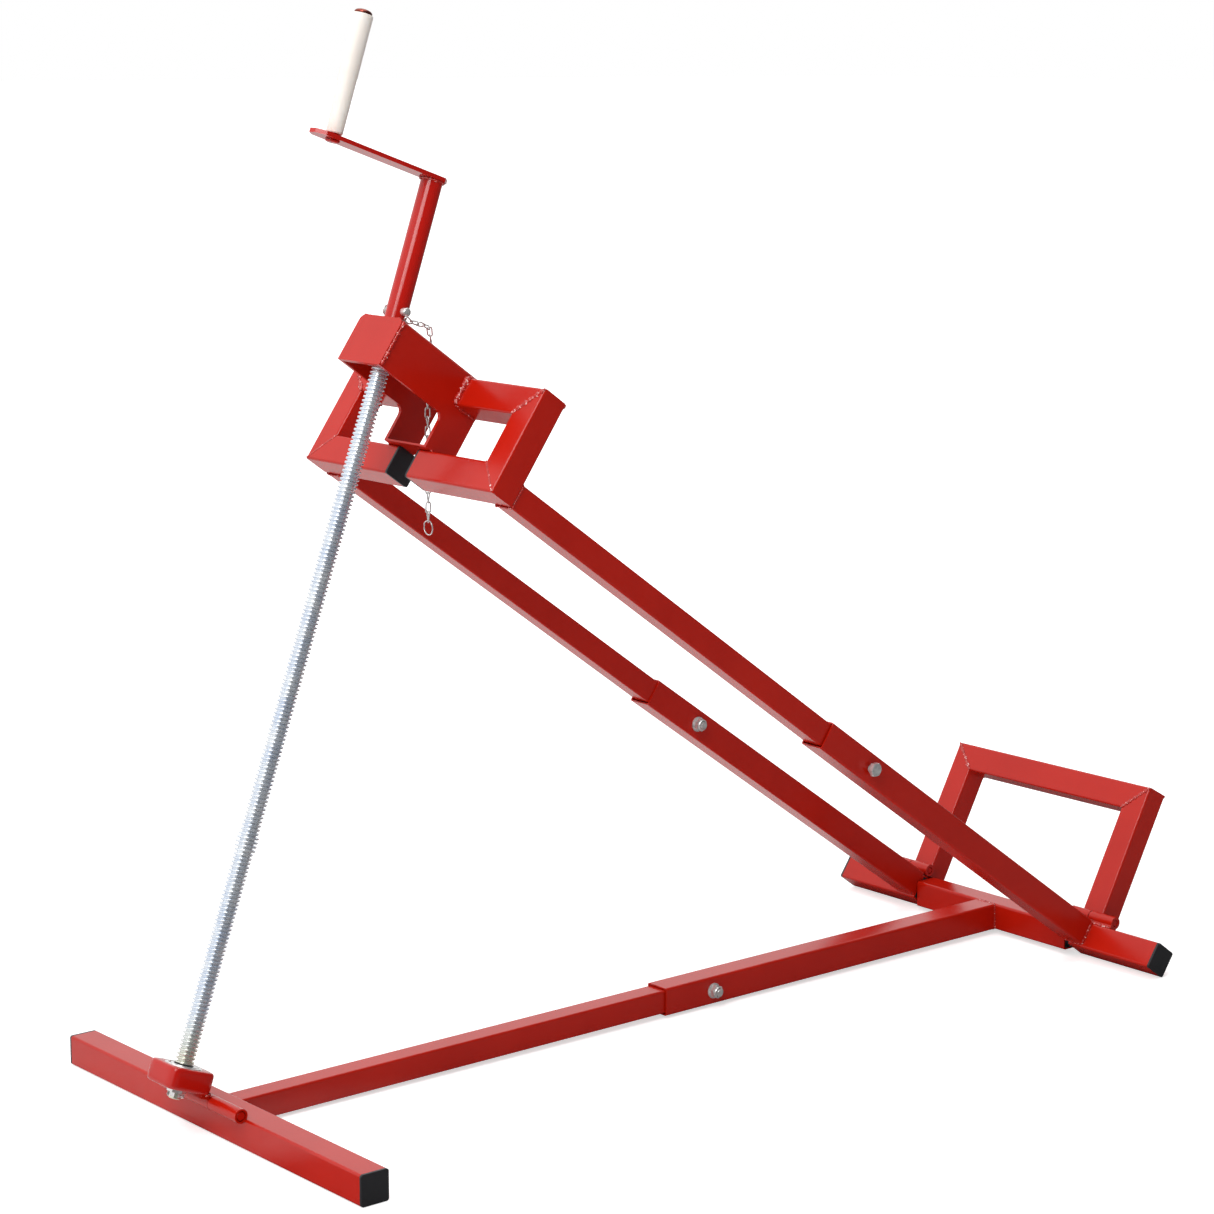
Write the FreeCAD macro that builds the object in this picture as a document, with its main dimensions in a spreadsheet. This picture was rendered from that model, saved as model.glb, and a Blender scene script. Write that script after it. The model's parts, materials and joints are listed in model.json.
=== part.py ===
import FreeCAD, Part
import math
import os

import Sketcher

# A screw-driven lift that raises one end of a ride-on mower.
# +Z is up, +X runs from the front foot to the rear hoop, +Y is to the left of a person
# who stands at the crank and looks along +X.
# The origin is the middle of the underside of the front foot.  All lengths are in mm.

Vector = FreeCAD.Vector
Rotation = FreeCAD.Rotation
Placement = FreeCAD.Placement

X_AXIS = Vector(1, 0, 0)
Y_AXIS = Vector(0, 1, 0)
Z_AXIS = Vector(0, 0, 1)
RIGHT = -1
LEFT = 1
SIDES = (("right", RIGHT), ("left", LEFT))

DRIVING_SIZES = (
    # square tube stock: outside width, wall and outside corner radius
    ("tube", 30.0),
    ("tube_wall", 1.5),
    ("tube_corner", 2.5),
    ("slim", 25.0),
    ("slim_corner", 2.0),
    ("weld_gap", 0.1),
    ("splice", 120.0),
    ("cap_flange", 2.5),
    ("cap_plug", 12.0),
    ("cap_play", 0.1),
    # fixed base
    ("foot_length", 495.0),
    ("base_slim_length", 648.0),
    ("base_sleeve_front", 543.0),
    ("pivot_x", 1058.0),
    ("cross_sleeve_length", 230.6),
    ("cross_sleeve_shift", -5.2),
    ("base_bolt_x", 609.0),
    ("hinge_x", -19.25),
    ("hinge_z", 34.25),
    ("barrel_radius", 7.0),
    ("hinge_pin_radius", 5.0),
    ("pin_play", 0.05),
    ("barrel_inner", 20.1),
    ("barrel_outer", 66.4),
    # lifting arms
    ("lift_angle", 35.15),
    ("rod_radius", 10.0),
    ("rod_length", 300.0),
    ("spacer_radius", 14.0),
    ("spacer_inner", 120.8),
    ("spacer_outer", 130.8),
    ("right_stub_inner", 131.0),
    ("right_stub_outer", 245.0),
    ("left_stub_inner", 111.0),
    ("left_stub_outer", 231.5),
    ("arm_offset", 136.0),
    ("arm_foot_gap", 0.5),
    ("right_arm_bend", 0.0),
    ("left_arm_bend", 0.28),
    ("right_splice_bend", 0.0),
    ("left_splice_bend", 0.69),
    ("splice_sag", 0.41),
    ("arm_sleeve_end", 512.0),
    ("arm_bolt_run", 436.0),
    ("frame_start", 1000.0),
    ("frame_top_height", 99.0),
    ("frame_low_height", -12.0),
    ("frame_half_width", 149.5),
    ("frame_low_inner", 17.1),
    # head that carries the screw nut
    ("plate", 4.0),
    ("head_half_width", 33.2),
    ("head_bend", 7.0),
    ("head_start", 1000.6),
    ("head_end", 1123.0),
    ("head_top", 104.2),
    ("head_under", 54.0),
    ("head_foot", 18.1),
    ("head_leg_end", 1037.0),
    ("head_notch", 8.0),
    ("slot_start", 1095.0),
    ("slot_half_width", 13.0),
    ("chain_hole_run", 1062.0),
    ("chain_hole_radius", 4.0),
    ("strip_start", 1013.0),
    ("strip_thickness", 2.0),
    ("nut_run", 1105.3),
    ("nut_height", 79.0),
    ("nut_radius", 16.0),
    ("nut_half_length", 19.5),
    ("trunnion_radius", 8.0),
    ("bush_radius", 12.0),
    # rear hoop
    ("hoop_pivot_run", 7.5),
    ("hoop_pivot_height", 24.0),
    ("hoop_lean", 6.49),
    ("hoop_setback", 7.5),
    ("hoop_rise", 161.0),
    ("hoop_drop", 4.7),
    ("hoop_half_width", 148.0),
    ("hoop_pin_radius", 4.0),
    # spindle hinge block and crank
    ("spindle_offset", 30.5),
    ("block_depth", 49.0),
    ("block_width", 47.0),
    ("block_low", 6.5),
    ("block_height", 20.5),
    ("block_corner", 8.0),
    ("bearing_radius", 18.0),
    ("bearing_seat", 10.5),
    ("journal_radius", 6.0),
    ("journal_end", -4.6),
    ("screw_radius", 9.0),
    ("screw_start", 29.0),
    ("stop_height", 233.0),
    ("stop_length", 16.0),
    ("stop_radius", 10.5),
    ("screw_end", 750.0),
    ("crank_tube_start", 750.4),
    ("crank_tube_end", 887.5),
    ("crank_tube_radius", 10.65),
    ("crank_core_radius", 7.8),
    ("crank_bore_radius", 8.55),
    ("crank_lean", 1.1),
    ("crank_core_end", 795.0),
    ("lock_pin_height", 759.0),
    ("cotter_height", -0.5),
    ("cotter_radius", 1.2),
    ("lock_pin_radius", 4.0),
    ("arm_front", 144.0),
    ("arm_back", 14.0),
    ("arm_width", 25.0),
    ("arm_thickness", 4.0),
    ("arm_chamfer", 8.0),
    ("crank_radius", 120.0),
    ("grip_low_radius", 7.9),
    ("grip_top_radius", 10.0),
    ("grip_length", 113.0),
    ("grip_lean", 1.6),
    ("grip_lift", 2.0),
    ("axle_radius", 4.0),
    # fasteners
    ("bolt_radius", 4.0),
    ("bolt_hole_radius", 4.3),
    ("hex_flats", 13.0),
    ("bolt_head", 5.3),
    ("nut_thickness", 8.0),
    ("washer_radius", 8.3),
    ("washer_thickness", 1.6),
    ("loose_head", 4.0),
    # keeper chain
    ("link_length", 12.0),
    ("link_width", 6.0),
    ("link_wire", 1.4),
    ("ring_radius", 6.8),
    ("ring_wire", 0.8),
    ("chain_x", 248.0),
    ("chain_top", 710.0),
)

doc = FreeCAD.newDocument("MowerLift")
sheet = doc.addObject("Spreadsheet::Sheet", "Sizes")
for row, (alias, number) in enumerate(DRIVING_SIZES, start=1):
    sheet.set("A%d" % row, alias)
    sheet.set("B%d" % row, repr(number))
    sheet.setAlias("B%d" % row, alias)
doc.recompute()


class Size:
    """A number together with the sheet formula that drives it."""

    def __init__(self, value, formula):
        self.value = value
        self.formula = formula

    def __add__(self, other):
        other = as_size(other)
        return Size(self.value + other.value, "(%s + %s)" % (self.formula, other.formula))

    def __sub__(self, other):
        other = as_size(other)
        return Size(self.value - other.value, "(%s - %s)" % (self.formula, other.formula))

    def __mul__(self, other):
        other = as_size(other)
        return Size(self.value * other.value, "(%s * %s)" % (self.formula, other.formula))

    def __truediv__(self, other):
        other = as_size(other)
        return Size(self.value / other.value, "(%s / %s)" % (self.formula, other.formula))

    def __neg__(self):
        return Size(-self.value, "(0 - %s)" % self.formula)


def as_size(item):
    """Wrap a plain number so that it can stand in a formula."""
    return item if isinstance(item, Size) else Size(float(item), repr(float(item)))


SIZE = {alias: Size(number, "Sizes.%s" % alias) for alias, number in DRIVING_SIZES}
MM = {alias: number for alias, number in DRIVING_SIZES}


def bind(item, **formulas):
    """Drive properties of a document object from the sheet."""
    for name, size in formulas.items():
        item.setExpression(name, as_size(size).formula)


# ---------------------------------------------------------------- frames of reference

# The stubs of the raised lift stand on their lower corners, which lifts the rear pivot.
LIFT_ANGLE = math.radians(MM["lift_angle"])
HALF_TUBE = MM["tube"] / 2
CORNER_REACH = HALF_TUBE - MM["tube_corner"]
PIVOT_Z = CORNER_REACH * (math.cos(LIFT_ANGLE) + math.sin(LIFT_ANGLE)) + MM["tube_corner"]
PIVOT = Vector(MM["pivot_x"], 0, PIVOT_Z)
BASE_PITCH = math.degrees(math.atan2(PIVOT_Z - HALF_TUBE, MM["pivot_x"]))
BASE = Placement(Vector(0, 0, HALF_TUBE), Rotation(Y_AXIS, -BASE_PITCH))
FOOT = Placement(Vector(0, 0, HALF_TUBE), Rotation())
LIFT = Placement(PIVOT, Rotation(Y_AXIS, MM["lift_angle"]))


def on_lift(run, across, height):
    """A point of the lift frame: run is the distance from the pivot along the arms."""
    return Vector(-run, across, height)


# The spindle passes through the trunnion axis of the nut, a set distance off its own hinge.
HINGE = Vector(MM["hinge_x"], 0, MM["hinge_z"])
NUT_CENTRE = LIFT.multVec(on_lift(MM["nut_run"], 0, MM["nut_height"]))
NUT_REACH = NUT_CENTRE - HINGE
SPINDLE_TILT = math.degrees(
    math.atan2(NUT_REACH.x, NUT_REACH.z) + math.asin(MM["spindle_offset"] / NUT_REACH.Length)
)
SPINDLE = Placement(HINGE, Rotation(Y_AXIS, SPINDLE_TILT))
NUT = Placement(NUT_CENTRE, Rotation(Y_AXIS, SPINDLE_TILT))

# The hoop stands up from its own pivot and leans towards the head.
HOOP_PIVOT = LIFT.multVec(on_lift(MM["hoop_pivot_run"], 0, MM["hoop_pivot_height"]))
HOOP = Placement(HOOP_PIVOT, Rotation(Y_AXIS, MM["lift_angle"] - MM["hoop_lean"]))
WORLD = Placement()


def pose(frame, origin, along=X_AXIS, up=Z_AXIS):
    """Put a piece's own X and Z axes along two directions of a frame."""
    turn = Rotation(along, up.cross(along), up, "XZY")
    return frame.multiply(Placement(origin, turn))


# ---------------------------------------------------------------- sketches and features


def new_body(name, placement):
    body = doc.addObject("PartDesign::Body", name)
    body.Label = name
    body.Placement = placement
    return body


def new_sketch(body, plane, suffix):
    sketch = body.newObject("Sketcher::SketchObject", body.Name + suffix)
    support = [item for item in body.Origin.OriginFeatures if item.Role == plane][0]
    sketch.AttachmentSupport = [(support, "")]
    sketch.MapMode = "FlatFace"
    return sketch


def constrain(sketch, kind, *arguments):
    """Add a dimension whose last argument is a size, and drive it from the sheet."""
    size = as_size(arguments[-1])
    index = sketch.addConstraint(Sketcher.Constraint(kind, *arguments[:-1], size.value))
    sketch.setExpression("Constraints[%d]" % index, size.formula)


def add_rounded_rectangle(sketch, left, right, low, high, corner):
    """Draw a rectangle with round corners and dimension it from the sketch origin."""
    left, right, low, high, corner = map(as_size, (left, right, low, high, corner))
    x0, x1, y0, y1, radius = left.value, right.value, low.value, high.value, corner.value
    first = sketch.GeometryCount
    lines = (
        ((x1, y0 + radius), (x1, y1 - radius)),
        ((x1 - radius, y1), (x0 + radius, y1)),
        ((x0, y1 - radius), (x0, y0 + radius)),
        ((x0 + radius, y0), (x1 - radius, y0)),
    )
    centres = (
        (x1 - radius, y1 - radius),
        (x0 + radius, y1 - radius),
        (x0 + radius, y0 + radius),
        (x1 - radius, y0 + radius),
    )
    for quarter in range(4):
        start, end = lines[quarter]
        sketch.addGeometry(Part.LineSegment(Vector(*start, 0), Vector(*end, 0)))
        circle = Part.Circle(Vector(*centres[quarter], 0), Z_AXIS, radius)
        begin = quarter * math.pi / 2
        sketch.addGeometry(Part.ArcOfCircle(circle, begin, begin + math.pi / 2))
    for quarter in range(4):
        line = first + 2 * quarter
        arc = line + 1
        following = first + 2 * ((quarter + 1) % 4)
        sketch.addConstraint(Sketcher.Constraint("Tangent", line, 2, arc, 1))
        sketch.addConstraint(Sketcher.Constraint("Tangent", arc, 2, following, 1))
        if quarter:
            sketch.addConstraint(Sketcher.Constraint("Equal", first + 1, arc))
    for offset, kind in enumerate(("Vertical", "Horizontal", "Vertical", "Horizontal")):
        sketch.addConstraint(Sketcher.Constraint(kind, first + 2 * offset))
    constrain(sketch, "Radius", first + 1, corner)
    constrain(sketch, "DistanceX", -1, 1, first, 1, right)
    constrain(sketch, "DistanceY", -1, 1, first + 2, 1, high)
    constrain(sketch, "DistanceX", -1, 1, first + 4, 1, left)
    constrain(sketch, "DistanceY", -1, 1, first + 6, 1, low)


def add_polygon(sketch, points):
    """Draw a closed polygon whose every corner is dimensioned from the sketch origin."""
    first = sketch.GeometryCount
    corners = [(as_size(x), as_size(y)) for x, y in points]
    count = len(corners)
    for index, (x, y) in enumerate(corners):
        next_x, next_y = corners[(index + 1) % count]
        start = Vector(x.value, y.value, 0)
        end = Vector(next_x.value, next_y.value, 0)
        sketch.addGeometry(Part.LineSegment(start, end))
    for index in range(count):
        line = first + index
        following = first + (index + 1) % count
        sketch.addConstraint(Sketcher.Constraint("Coincident", line, 2, following, 1))
    for index, (x, y) in enumerate(corners):
        constrain(sketch, "DistanceX", -1, 1, first + index, 1, x)
        constrain(sketch, "DistanceY", -1, 1, first + index, 1, y)


def add_circle(sketch, x, y, radius):
    x, y, radius = map(as_size, (x, y, radius))
    index = sketch.addGeometry(Part.Circle(Vector(x.value, y.value, 0), Z_AXIS, radius.value))
    constrain(sketch, "DistanceX", -1, 1, index, 3, x)
    constrain(sketch, "DistanceY", -1, 1, index, 3, y)
    constrain(sketch, "Radius", index, radius)


def pad(body, sketch, length, midplane=False):
    feature = body.newObject("PartDesign::Pad", sketch.Name + "Pad")
    feature.Profile = sketch
    feature.Length = as_size(length).value
    feature.SideType = "Symmetric" if midplane else "One side"
    bind(feature, Length=length)
    sketch.Visibility = False
    return feature


def cut_through(body, sketch):
    """Cut a sketched outline right through the body, both ways from its plane."""
    feature = body.newObject("PartDesign::Pocket", sketch.Name + "Cut")
    feature.Profile = sketch
    feature.Type = "ThroughAll"
    feature.SideType = "Symmetric"
    sketch.Visibility = False
    return feature


# ---------------------------------------------------------------- stock pieces


def square_tube(name, length, placement, width="tube", corner="tube_corner"):
    """A length of square tube that runs along its own X axis from X = 0."""
    half = SIZE[width] / 2
    wall = SIZE["tube_wall"]
    inner = half - wall
    body = new_body(name, placement)
    sketch = new_sketch(body, "YZ_Plane", "Section")
    add_rounded_rectangle(sketch, -half, half, -half, half, SIZE[corner])
    add_rounded_rectangle(sketch, -inner, inner, -inner, inner, SIZE[corner] - wall)
    pad(body, sketch, length)
    return body


def mitre(body, end, side, at_start=False):
    """Cut one end at 45 degrees, so that the tube stays full length on the given Z side."""
    half = SIZE["tube"] / 2
    spare = 2
    outward = -1 if at_start else 1
    end = as_size(end)
    sketch = new_sketch(body, "XZ_Plane", "MitreStart" if at_start else "MitreEnd")
    tip = (end + outward * spare, (half + spare) * side)
    root = (end - (half * 2 + spare) * outward, -(half + spare) * side)
    heel = (end + outward * spare, -(half + spare) * side)
    add_polygon(sketch, (tip, root, heel))
    cut_through(body, sketch)


def cross_hole(body, at, radius):
    """Drill through both walls along the piece's own Y axis."""
    sketch = new_sketch(body, "XZ_Plane", "Hole")
    add_circle(sketch, at, 0, radius)
    cut_through(body, sketch)


def cylinder(name, radius, length, placement):
    item = doc.addObject("Part::Cylinder", name)
    bind(item, Radius=radius, Height=length)
    item.Placement = placement
    return item


def block(name, length, width, height, placement):
    item = doc.addObject("Part::Box", name)
    bind(item, Length=length, Width=width, Height=height)
    item.Placement = placement
    return item


def cut(name, base, tool, placement=WORLD):
    item = doc.addObject("Part::Cut", name)
    item.Base = base
    item.Tool = tool
    item.Placement = placement
    return item


def fuse(name, shapes, placement=WORLD):
    item = doc.addObject("Part::MultiFuse", name)
    item.Shapes = shapes
    item.Placement = placement
    return item


def ring(name, radius, bore, length, placement):
    """A plain bush or washer around its own Z axis."""
    outside = cylinder(name + "Outside", radius, length, WORLD)
    inside = cylinder(name + "Bore", bore, length, WORLD)
    return cut(name, outside, inside, placement)


def hexagon(name, height, placement):
    """A hexagon of the standard width across flats, around its own Z axis."""
    item = doc.addObject("Part::Prism", name)
    item.Polygon = 6
    bind(item, Circumradius=SIZE["hex_flats"] / math.sqrt(3), Height=height)
    item.Placement = placement
    return item


def group(name, members):
    """Identical separate solids under one name."""
    item = doc.addObject("Part::Compound", name)
    item.Links = members
    item.Label = name
    return item


def end_cap(name, placement):
    """A plastic cap: a flange from Z = 0 outwards and a plug that fills the tube end."""
    body = new_body(name, placement)
    half = SIZE["tube"] / 2
    plug = half - SIZE["tube_wall"] - SIZE["cap_play"]
    sketch = new_sketch(body, "XY_Plane", "Flange")
    add_rounded_rectangle(sketch, -half, half, -half, half, SIZE["tube_corner"])
    pad(body, sketch, SIZE["cap_flange"])
    sketch = new_sketch(body, "XY_Plane", "Plug")
    add_rounded_rectangle(sketch, -plug, plug, -plug, plug, 1.0)
    feature = pad(body, sketch, SIZE["cap_plug"])
    feature.Reversed = True
    return body


def square_bush(name, bore, length, placement):
    """A plug that fills the inside of a tube and carries a round shaft along its Z axis."""
    body = new_body(name, placement)
    half = SIZE["tube"] / 2 - SIZE["tube_wall"] - SIZE["cap_play"]
    sketch = new_sketch(body, "XY_Plane", "Section")
    add_rounded_rectangle(sketch, -half, half, -half, half, 1.0)
    add_circle(sketch, 0, 0, bore)
    pad(body, sketch, length)
    return body


def bolt(name, grip, placement):
    """A hexagon bolt: its head is above Z = 0 and its shank runs down the Z axis."""
    head = hexagon(name + "Head", SIZE["bolt_head"], WORLD)
    shank = cylinder(name + "Shank", SIZE["bolt_radius"], grip, WORLD)
    bind(shank, **{"Placement.Base.z": -as_size(grip)})
    return fuse(name, [head, shank], placement)


def hex_nut(name, placement):
    outside = hexagon(name + "Outside", SIZE["nut_thickness"], WORLD)
    bore = SIZE["bolt_radius"] + SIZE["pin_play"]
    inside = cylinder(name + "Bore", bore, SIZE["nut_thickness"], WORLD)
    return cut(name, outside, inside, placement)


def washer(name, placement):
    bore = SIZE["bolt_radius"] + SIZE["pin_play"]
    return ring(name, SIZE["washer_radius"], bore, SIZE["washer_thickness"], placement)


# ---------------------------------------------------------------- fixed base


def bolted_joint(prefix, frame, centre, head_side, loose_head=False):
    """A bolt along Y, with a washer under its nut; returns the three pieces."""
    toward = Vector(0, head_side, 0)
    grip = SIZE["tube"] + SIZE["washer_thickness"] + SIZE["nut_thickness"] + 2
    seat = HALF_TUBE
    if loose_head:
        grip = grip + SIZE["loose_head"]
        seat = HALF_TUBE + MM["loose_head"]
    face = HALF_TUBE + MM["washer_thickness"]
    bolt_piece = bolt(prefix + "BoltPiece", grip, pose(frame, centre + toward * seat, up=toward))
    nut_piece = hex_nut(prefix + "NutPiece", pose(frame, centre - toward * face, up=-toward))
    under_nut = washer(prefix + "Washer", pose(frame, centre - toward * HALF_TUBE, up=-toward))
    return bolt_piece, nut_piece, under_nut


foot_start = Vector(0, -MM["foot_length"] / 2, 0)
square_tube("foot_tube", SIZE["foot_length"], pose(FOOT, foot_start, along=Y_AXIS))
group(
    "foot_end_caps",
    [
        end_cap(
            side_name + "_foot_cap",
            pose(FOOT, Vector(0, side * MM["foot_length"] / 2, 0), up=Vector(0, side, 0)),
        )
        for side_name, side in SIDES
    ],
)

slim_start = HALF_TUBE + MM["weld_gap"]
base_slim = square_tube(
    "base_inner_tube",
    SIZE["base_slim_length"],
    pose(BASE, Vector(slim_start, 0, 0)),
    width="slim",
    corner="slim_corner",
)
cross_hole(base_slim, SIZE["base_bolt_x"] - slim_start, SIZE["bolt_hole_radius"])
sleeve_length = SIZE["pivot_x"] - SIZE["tube"] / 2 - SIZE["base_sleeve_front"] - SIZE["weld_gap"]
base_sleeve = square_tube(
    "base_sleeve", sleeve_length, pose(BASE, Vector(MM["base_sleeve_front"], 0, 0))
)
bolt_in_sleeve = SIZE["base_bolt_x"] - SIZE["base_sleeve_front"]
cross_hole(base_sleeve, bolt_in_sleeve, SIZE["bolt_hole_radius"])

base_pivot_run = (PIVOT - BASE.Base).Length
cross_start = Vector(
    base_pivot_run, MM["cross_sleeve_shift"] - MM["cross_sleeve_length"] / 2, 0
)
square_tube(
    "rear_cross_sleeve", SIZE["cross_sleeve_length"], pose(BASE, cross_start, along=Y_AXIS)
)
BUSH_LENGTH = 20.0
group(
    "pivot_bushes",
    [
        square_bush(
            side_name + "_pivot_bush",
            SIZE["rod_radius"] + SIZE["pin_play"],
            BUSH_LENGTH,
            pose(
                BASE,
                Vector(
                    base_pivot_run,
                    MM["cross_sleeve_shift"]
                    + side * (MM["cross_sleeve_length"] / 2 - BUSH_LENGTH),
                    0,
                ),
                up=Vector(0, side, 0),
            ),
        )
        for side_name, side in SIDES
    ],
)
pieces = bolted_joint("Base", BASE, Vector(MM["base_bolt_x"], 0, 0), LEFT)
for label, piece in zip(("base_bolt", "base_nut", "base_washer"), pieces):
    group(label, [piece])

group(
    "foot_hinge_barrels",
    [
        ring(
            side_name + "_foot_barrel",
            SIZE["barrel_radius"],
            SIZE["hinge_pin_radius"] + SIZE["pin_play"],
            SIZE["barrel_outer"] - SIZE["barrel_inner"],
            pose(WORLD, HINGE + Y_AXIS * (side * MM["barrel_inner"]), up=Vector(0, side, 0)),
        )
        for side_name, side in SIDES
    ],
)
hinge_pin_start = HINGE - Y_AXIS * (MM["barrel_outer"] - 0.4)
hinge_pin_length = SIZE["barrel_outer"] * 2 - 0.8
foot_pin = cylinder(
    "foot_hinge_pin",
    SIZE["hinge_pin_radius"],
    hinge_pin_length,
    pose(WORLD, hinge_pin_start, up=Y_AXIS),
)
foot_pin.Label = "foot_hinge_pin"

# ---------------------------------------------------------------- lifting arms

rod = cylinder(
    "pivot_rod",
    SIZE["rod_radius"],
    SIZE["rod_length"],
    pose(LIFT, on_lift(0, -MM["rod_length"] / 2, 0), up=Y_AXIS),
)
rod.Label = "pivot_rod"
group(
    "pivot_spacer",
    [
        ring(
            "PivotSpacer",
            SIZE["spacer_radius"],
            SIZE["rod_radius"] + 0.1,
            SIZE["spacer_outer"] - SIZE["spacer_inner"],
            pose(LIFT, on_lift(0, -MM["spacer_inner"], 0), up=Vector(0, RIGHT, 0)),
        )
    ],
)
group(
    "stub_bushes",
    [
        square_bush(
            side_name + "_stub_bush",
            SIZE["rod_radius"] + 0.1,
            BUSH_LENGTH,
            pose(
                LIFT,
                on_lift(0, side * MM[side_name + "_stub_inner"], 0),
                up=Vector(0, side, 0),
            ),
        )
        for side_name, side in SIDES
    ],
)
group(
    "stub_end_caps",
    [
        end_cap(
            side_name + "_stub_cap",
            pose(
                LIFT,
                on_lift(0, side * MM[side_name + "_stub_outer"], 0),
                up=Vector(0, side, 0),
            ),
        )
        for side_name, side in SIDES
    ],
)

ARM_UP = Vector(-1, 0, 0)
arm_start = HALF_TUBE + MM["arm_foot_gap"]
arm_slim_start = MM["arm_sleeve_end"] - MM["splice"]
arm_slim_length = SIZE["frame_start"] - SIZE["arm_sleeve_end"] + SIZE["splice"] - SIZE["weld_gap"]
FRAME_HALF = MM["frame_half_width"]
frame_run = MM["frame_start"] + HALF_TUBE
top_centre = MM["frame_top_height"] - HALF_TUBE
low_centre = MM["frame_low_height"] + HALF_TUBE
side_centre = FRAME_HALF - HALF_TUBE

bolts, nuts, washers = [], [], []
for side_name, side in SIDES:
    outward = Vector(0, side, 0)
    inward = Vector(0, -side, 0)
    square_tube(
        side_name + "_stub",
        SIZE[side_name + "_stub_outer"] - SIZE[side_name + "_stub_inner"],
        pose(LIFT, on_lift(0, side * MM[side_name + "_stub_inner"], 0), along=outward),
    )

    # The splice has play: the sleeve hangs a little off the line of the tube inside it.
    slim_turn = Rotation(Z_AXIS, -MM[side_name + "_arm_bend"])
    slim_frame = LIFT.multiply(
        Placement(on_lift(MM["frame_start"], side * MM["arm_offset"], 0), slim_turn)
    )
    splice_turn = Rotation(Z_AXIS, -MM[side_name + "_splice_bend"])
    splice_turn = splice_turn.multiply(Rotation(Y_AXIS, -MM["splice_sag"]))
    bolt_from_frame = Vector(MM["frame_start"] - MM["arm_bolt_run"], 0, 0)
    sleeve_frame = slim_frame.multiply(Placement(bolt_from_frame, splice_turn))
    sleeve = square_tube(
        side_name + "_arm_sleeve",
        SIZE["arm_sleeve_end"] - SIZE["tube"] / 2 - SIZE["arm_foot_gap"],
        pose(sleeve_frame, Vector(MM["arm_bolt_run"] - arm_start, 0, 0), along=ARM_UP),
    )
    cross_hole(sleeve, SIZE["arm_bolt_run"] - arm_start, SIZE["bolt_hole_radius"])
    slim = square_tube(
        side_name + "_arm_inner",
        arm_slim_length,
        pose(slim_frame, Vector(MM["frame_start"] - arm_slim_start, 0, 0), along=ARM_UP),
        width="slim",
        corner="slim_corner",
    )
    cross_hole(slim, SIZE["arm_bolt_run"] - arm_slim_start, SIZE["bolt_hole_radius"])
    pieces = bolted_joint(
        side_name.title() + "Arm", sleeve_frame, Vector(), side, loose_head=(side == RIGHT)
    )
    bolts.append(pieces[0])
    nuts.append(pieces[1])
    washers.append(pieces[2])

    # Upper frame: a side tube and two tubes that reach in to the head, mitred together.
    upright = square_tube(
        side_name + "_frame_side",
        SIZE["frame_top_height"] - SIZE["frame_low_height"],
        pose(
            LIFT,
            on_lift(frame_run, side * side_centre, MM["frame_low_height"]),
            along=Z_AXIS,
            up=outward,
        ),
    )
    upright_length = SIZE["frame_top_height"] - SIZE["frame_low_height"]
    mitre(upright, upright_length, 1)
    mitre(upright, 0, 1, at_start=True)
    upper = square_tube(
        side_name + "_frame_top",
        SIZE["frame_half_width"] - SIZE["head_half_width"] - 0.05,
        pose(LIFT, on_lift(frame_run, side * FRAME_HALF, top_centre), along=inward),
    )
    mitre(upper, 0, 1, at_start=True)
    lower = square_tube(
        side_name + "_frame_bottom",
        SIZE["frame_half_width"] - SIZE["frame_low_inner"],
        pose(LIFT, on_lift(frame_run, side * FRAME_HALF, low_centre), along=inward),
    )
    mitre(lower, 0, -1, at_start=True)

group("arm_bolts", bolts)
group("arm_nuts", nuts)
group("arm_washers", washers)
group(
    "frame_end_caps",
    [
        end_cap(
            side_name + "_frame_cap",
            pose(
                LIFT,
                on_lift(frame_run, side * MM["frame_low_inner"], low_centre),
                up=Vector(0, -side, 0),
            ),
        )
        for side_name, side in SIDES
    ],
)

# ---------------------------------------------------------------- head

# A plate bent into a channel: its web is on top and its cheeks reach down to the frame.
# Its own X axis runs along the arms and its own Y axis points to the right.
HEAD = pose(LIFT, Vector(0, 0, 0), along=ARM_UP)
head = new_body("head_channel", HEAD)
half_width = SIZE["head_half_width"]
top = SIZE["head_top"]
sketch = new_sketch(head, "YZ_Plane", "Outline")
add_rounded_rectangle(
    sketch, -half_width, half_width, SIZE["head_foot"] - 12, top, SIZE["head_bend"]
)
inner_half = half_width - SIZE["plate"]
add_rounded_rectangle(
    sketch,
    -inner_half,
    inner_half,
    SIZE["head_foot"] - 8,
    top - SIZE["plate"],
    SIZE["head_bend"] - SIZE["plate"],
)
pad(head, sketch, SIZE["head_end"])
sketch = new_sketch(head, "XZ_Plane", "Trim")
spare = 6
add_polygon(
    sketch,
    (
        (-spare, SIZE["head_foot"] - 20),
        (SIZE["head_end"] + spare, SIZE["head_foot"] - 20),
        (SIZE["head_end"] + spare, SIZE["head_foot"]),
        (SIZE["head_start"], SIZE["head_foot"]),
        (SIZE["head_start"], top + spare),
        (-spare, top + spare),
    ),
)
cut_through(head, sketch)
sketch = new_sketch(head, "XZ_Plane", "Notch")
add_rounded_rectangle(
    sketch,
    SIZE["head_leg_end"],
    SIZE["head_end"] + 20,
    SIZE["head_foot"] - 20,
    SIZE["head_under"],
    SIZE["head_notch"],
)
cut_through(head, sketch)
sketch = new_sketch(head, "XY_Plane", "Slot")
slot_half = SIZE["slot_half_width"]
add_rounded_rectangle(
    sketch, SIZE["slot_start"], SIZE["head_end"] + 12, -slot_half, slot_half, 5.0
)
add_circle(sketch, SIZE["chain_hole_run"], 0, SIZE["chain_hole_radius"])
cut_through(head, sketch)

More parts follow.
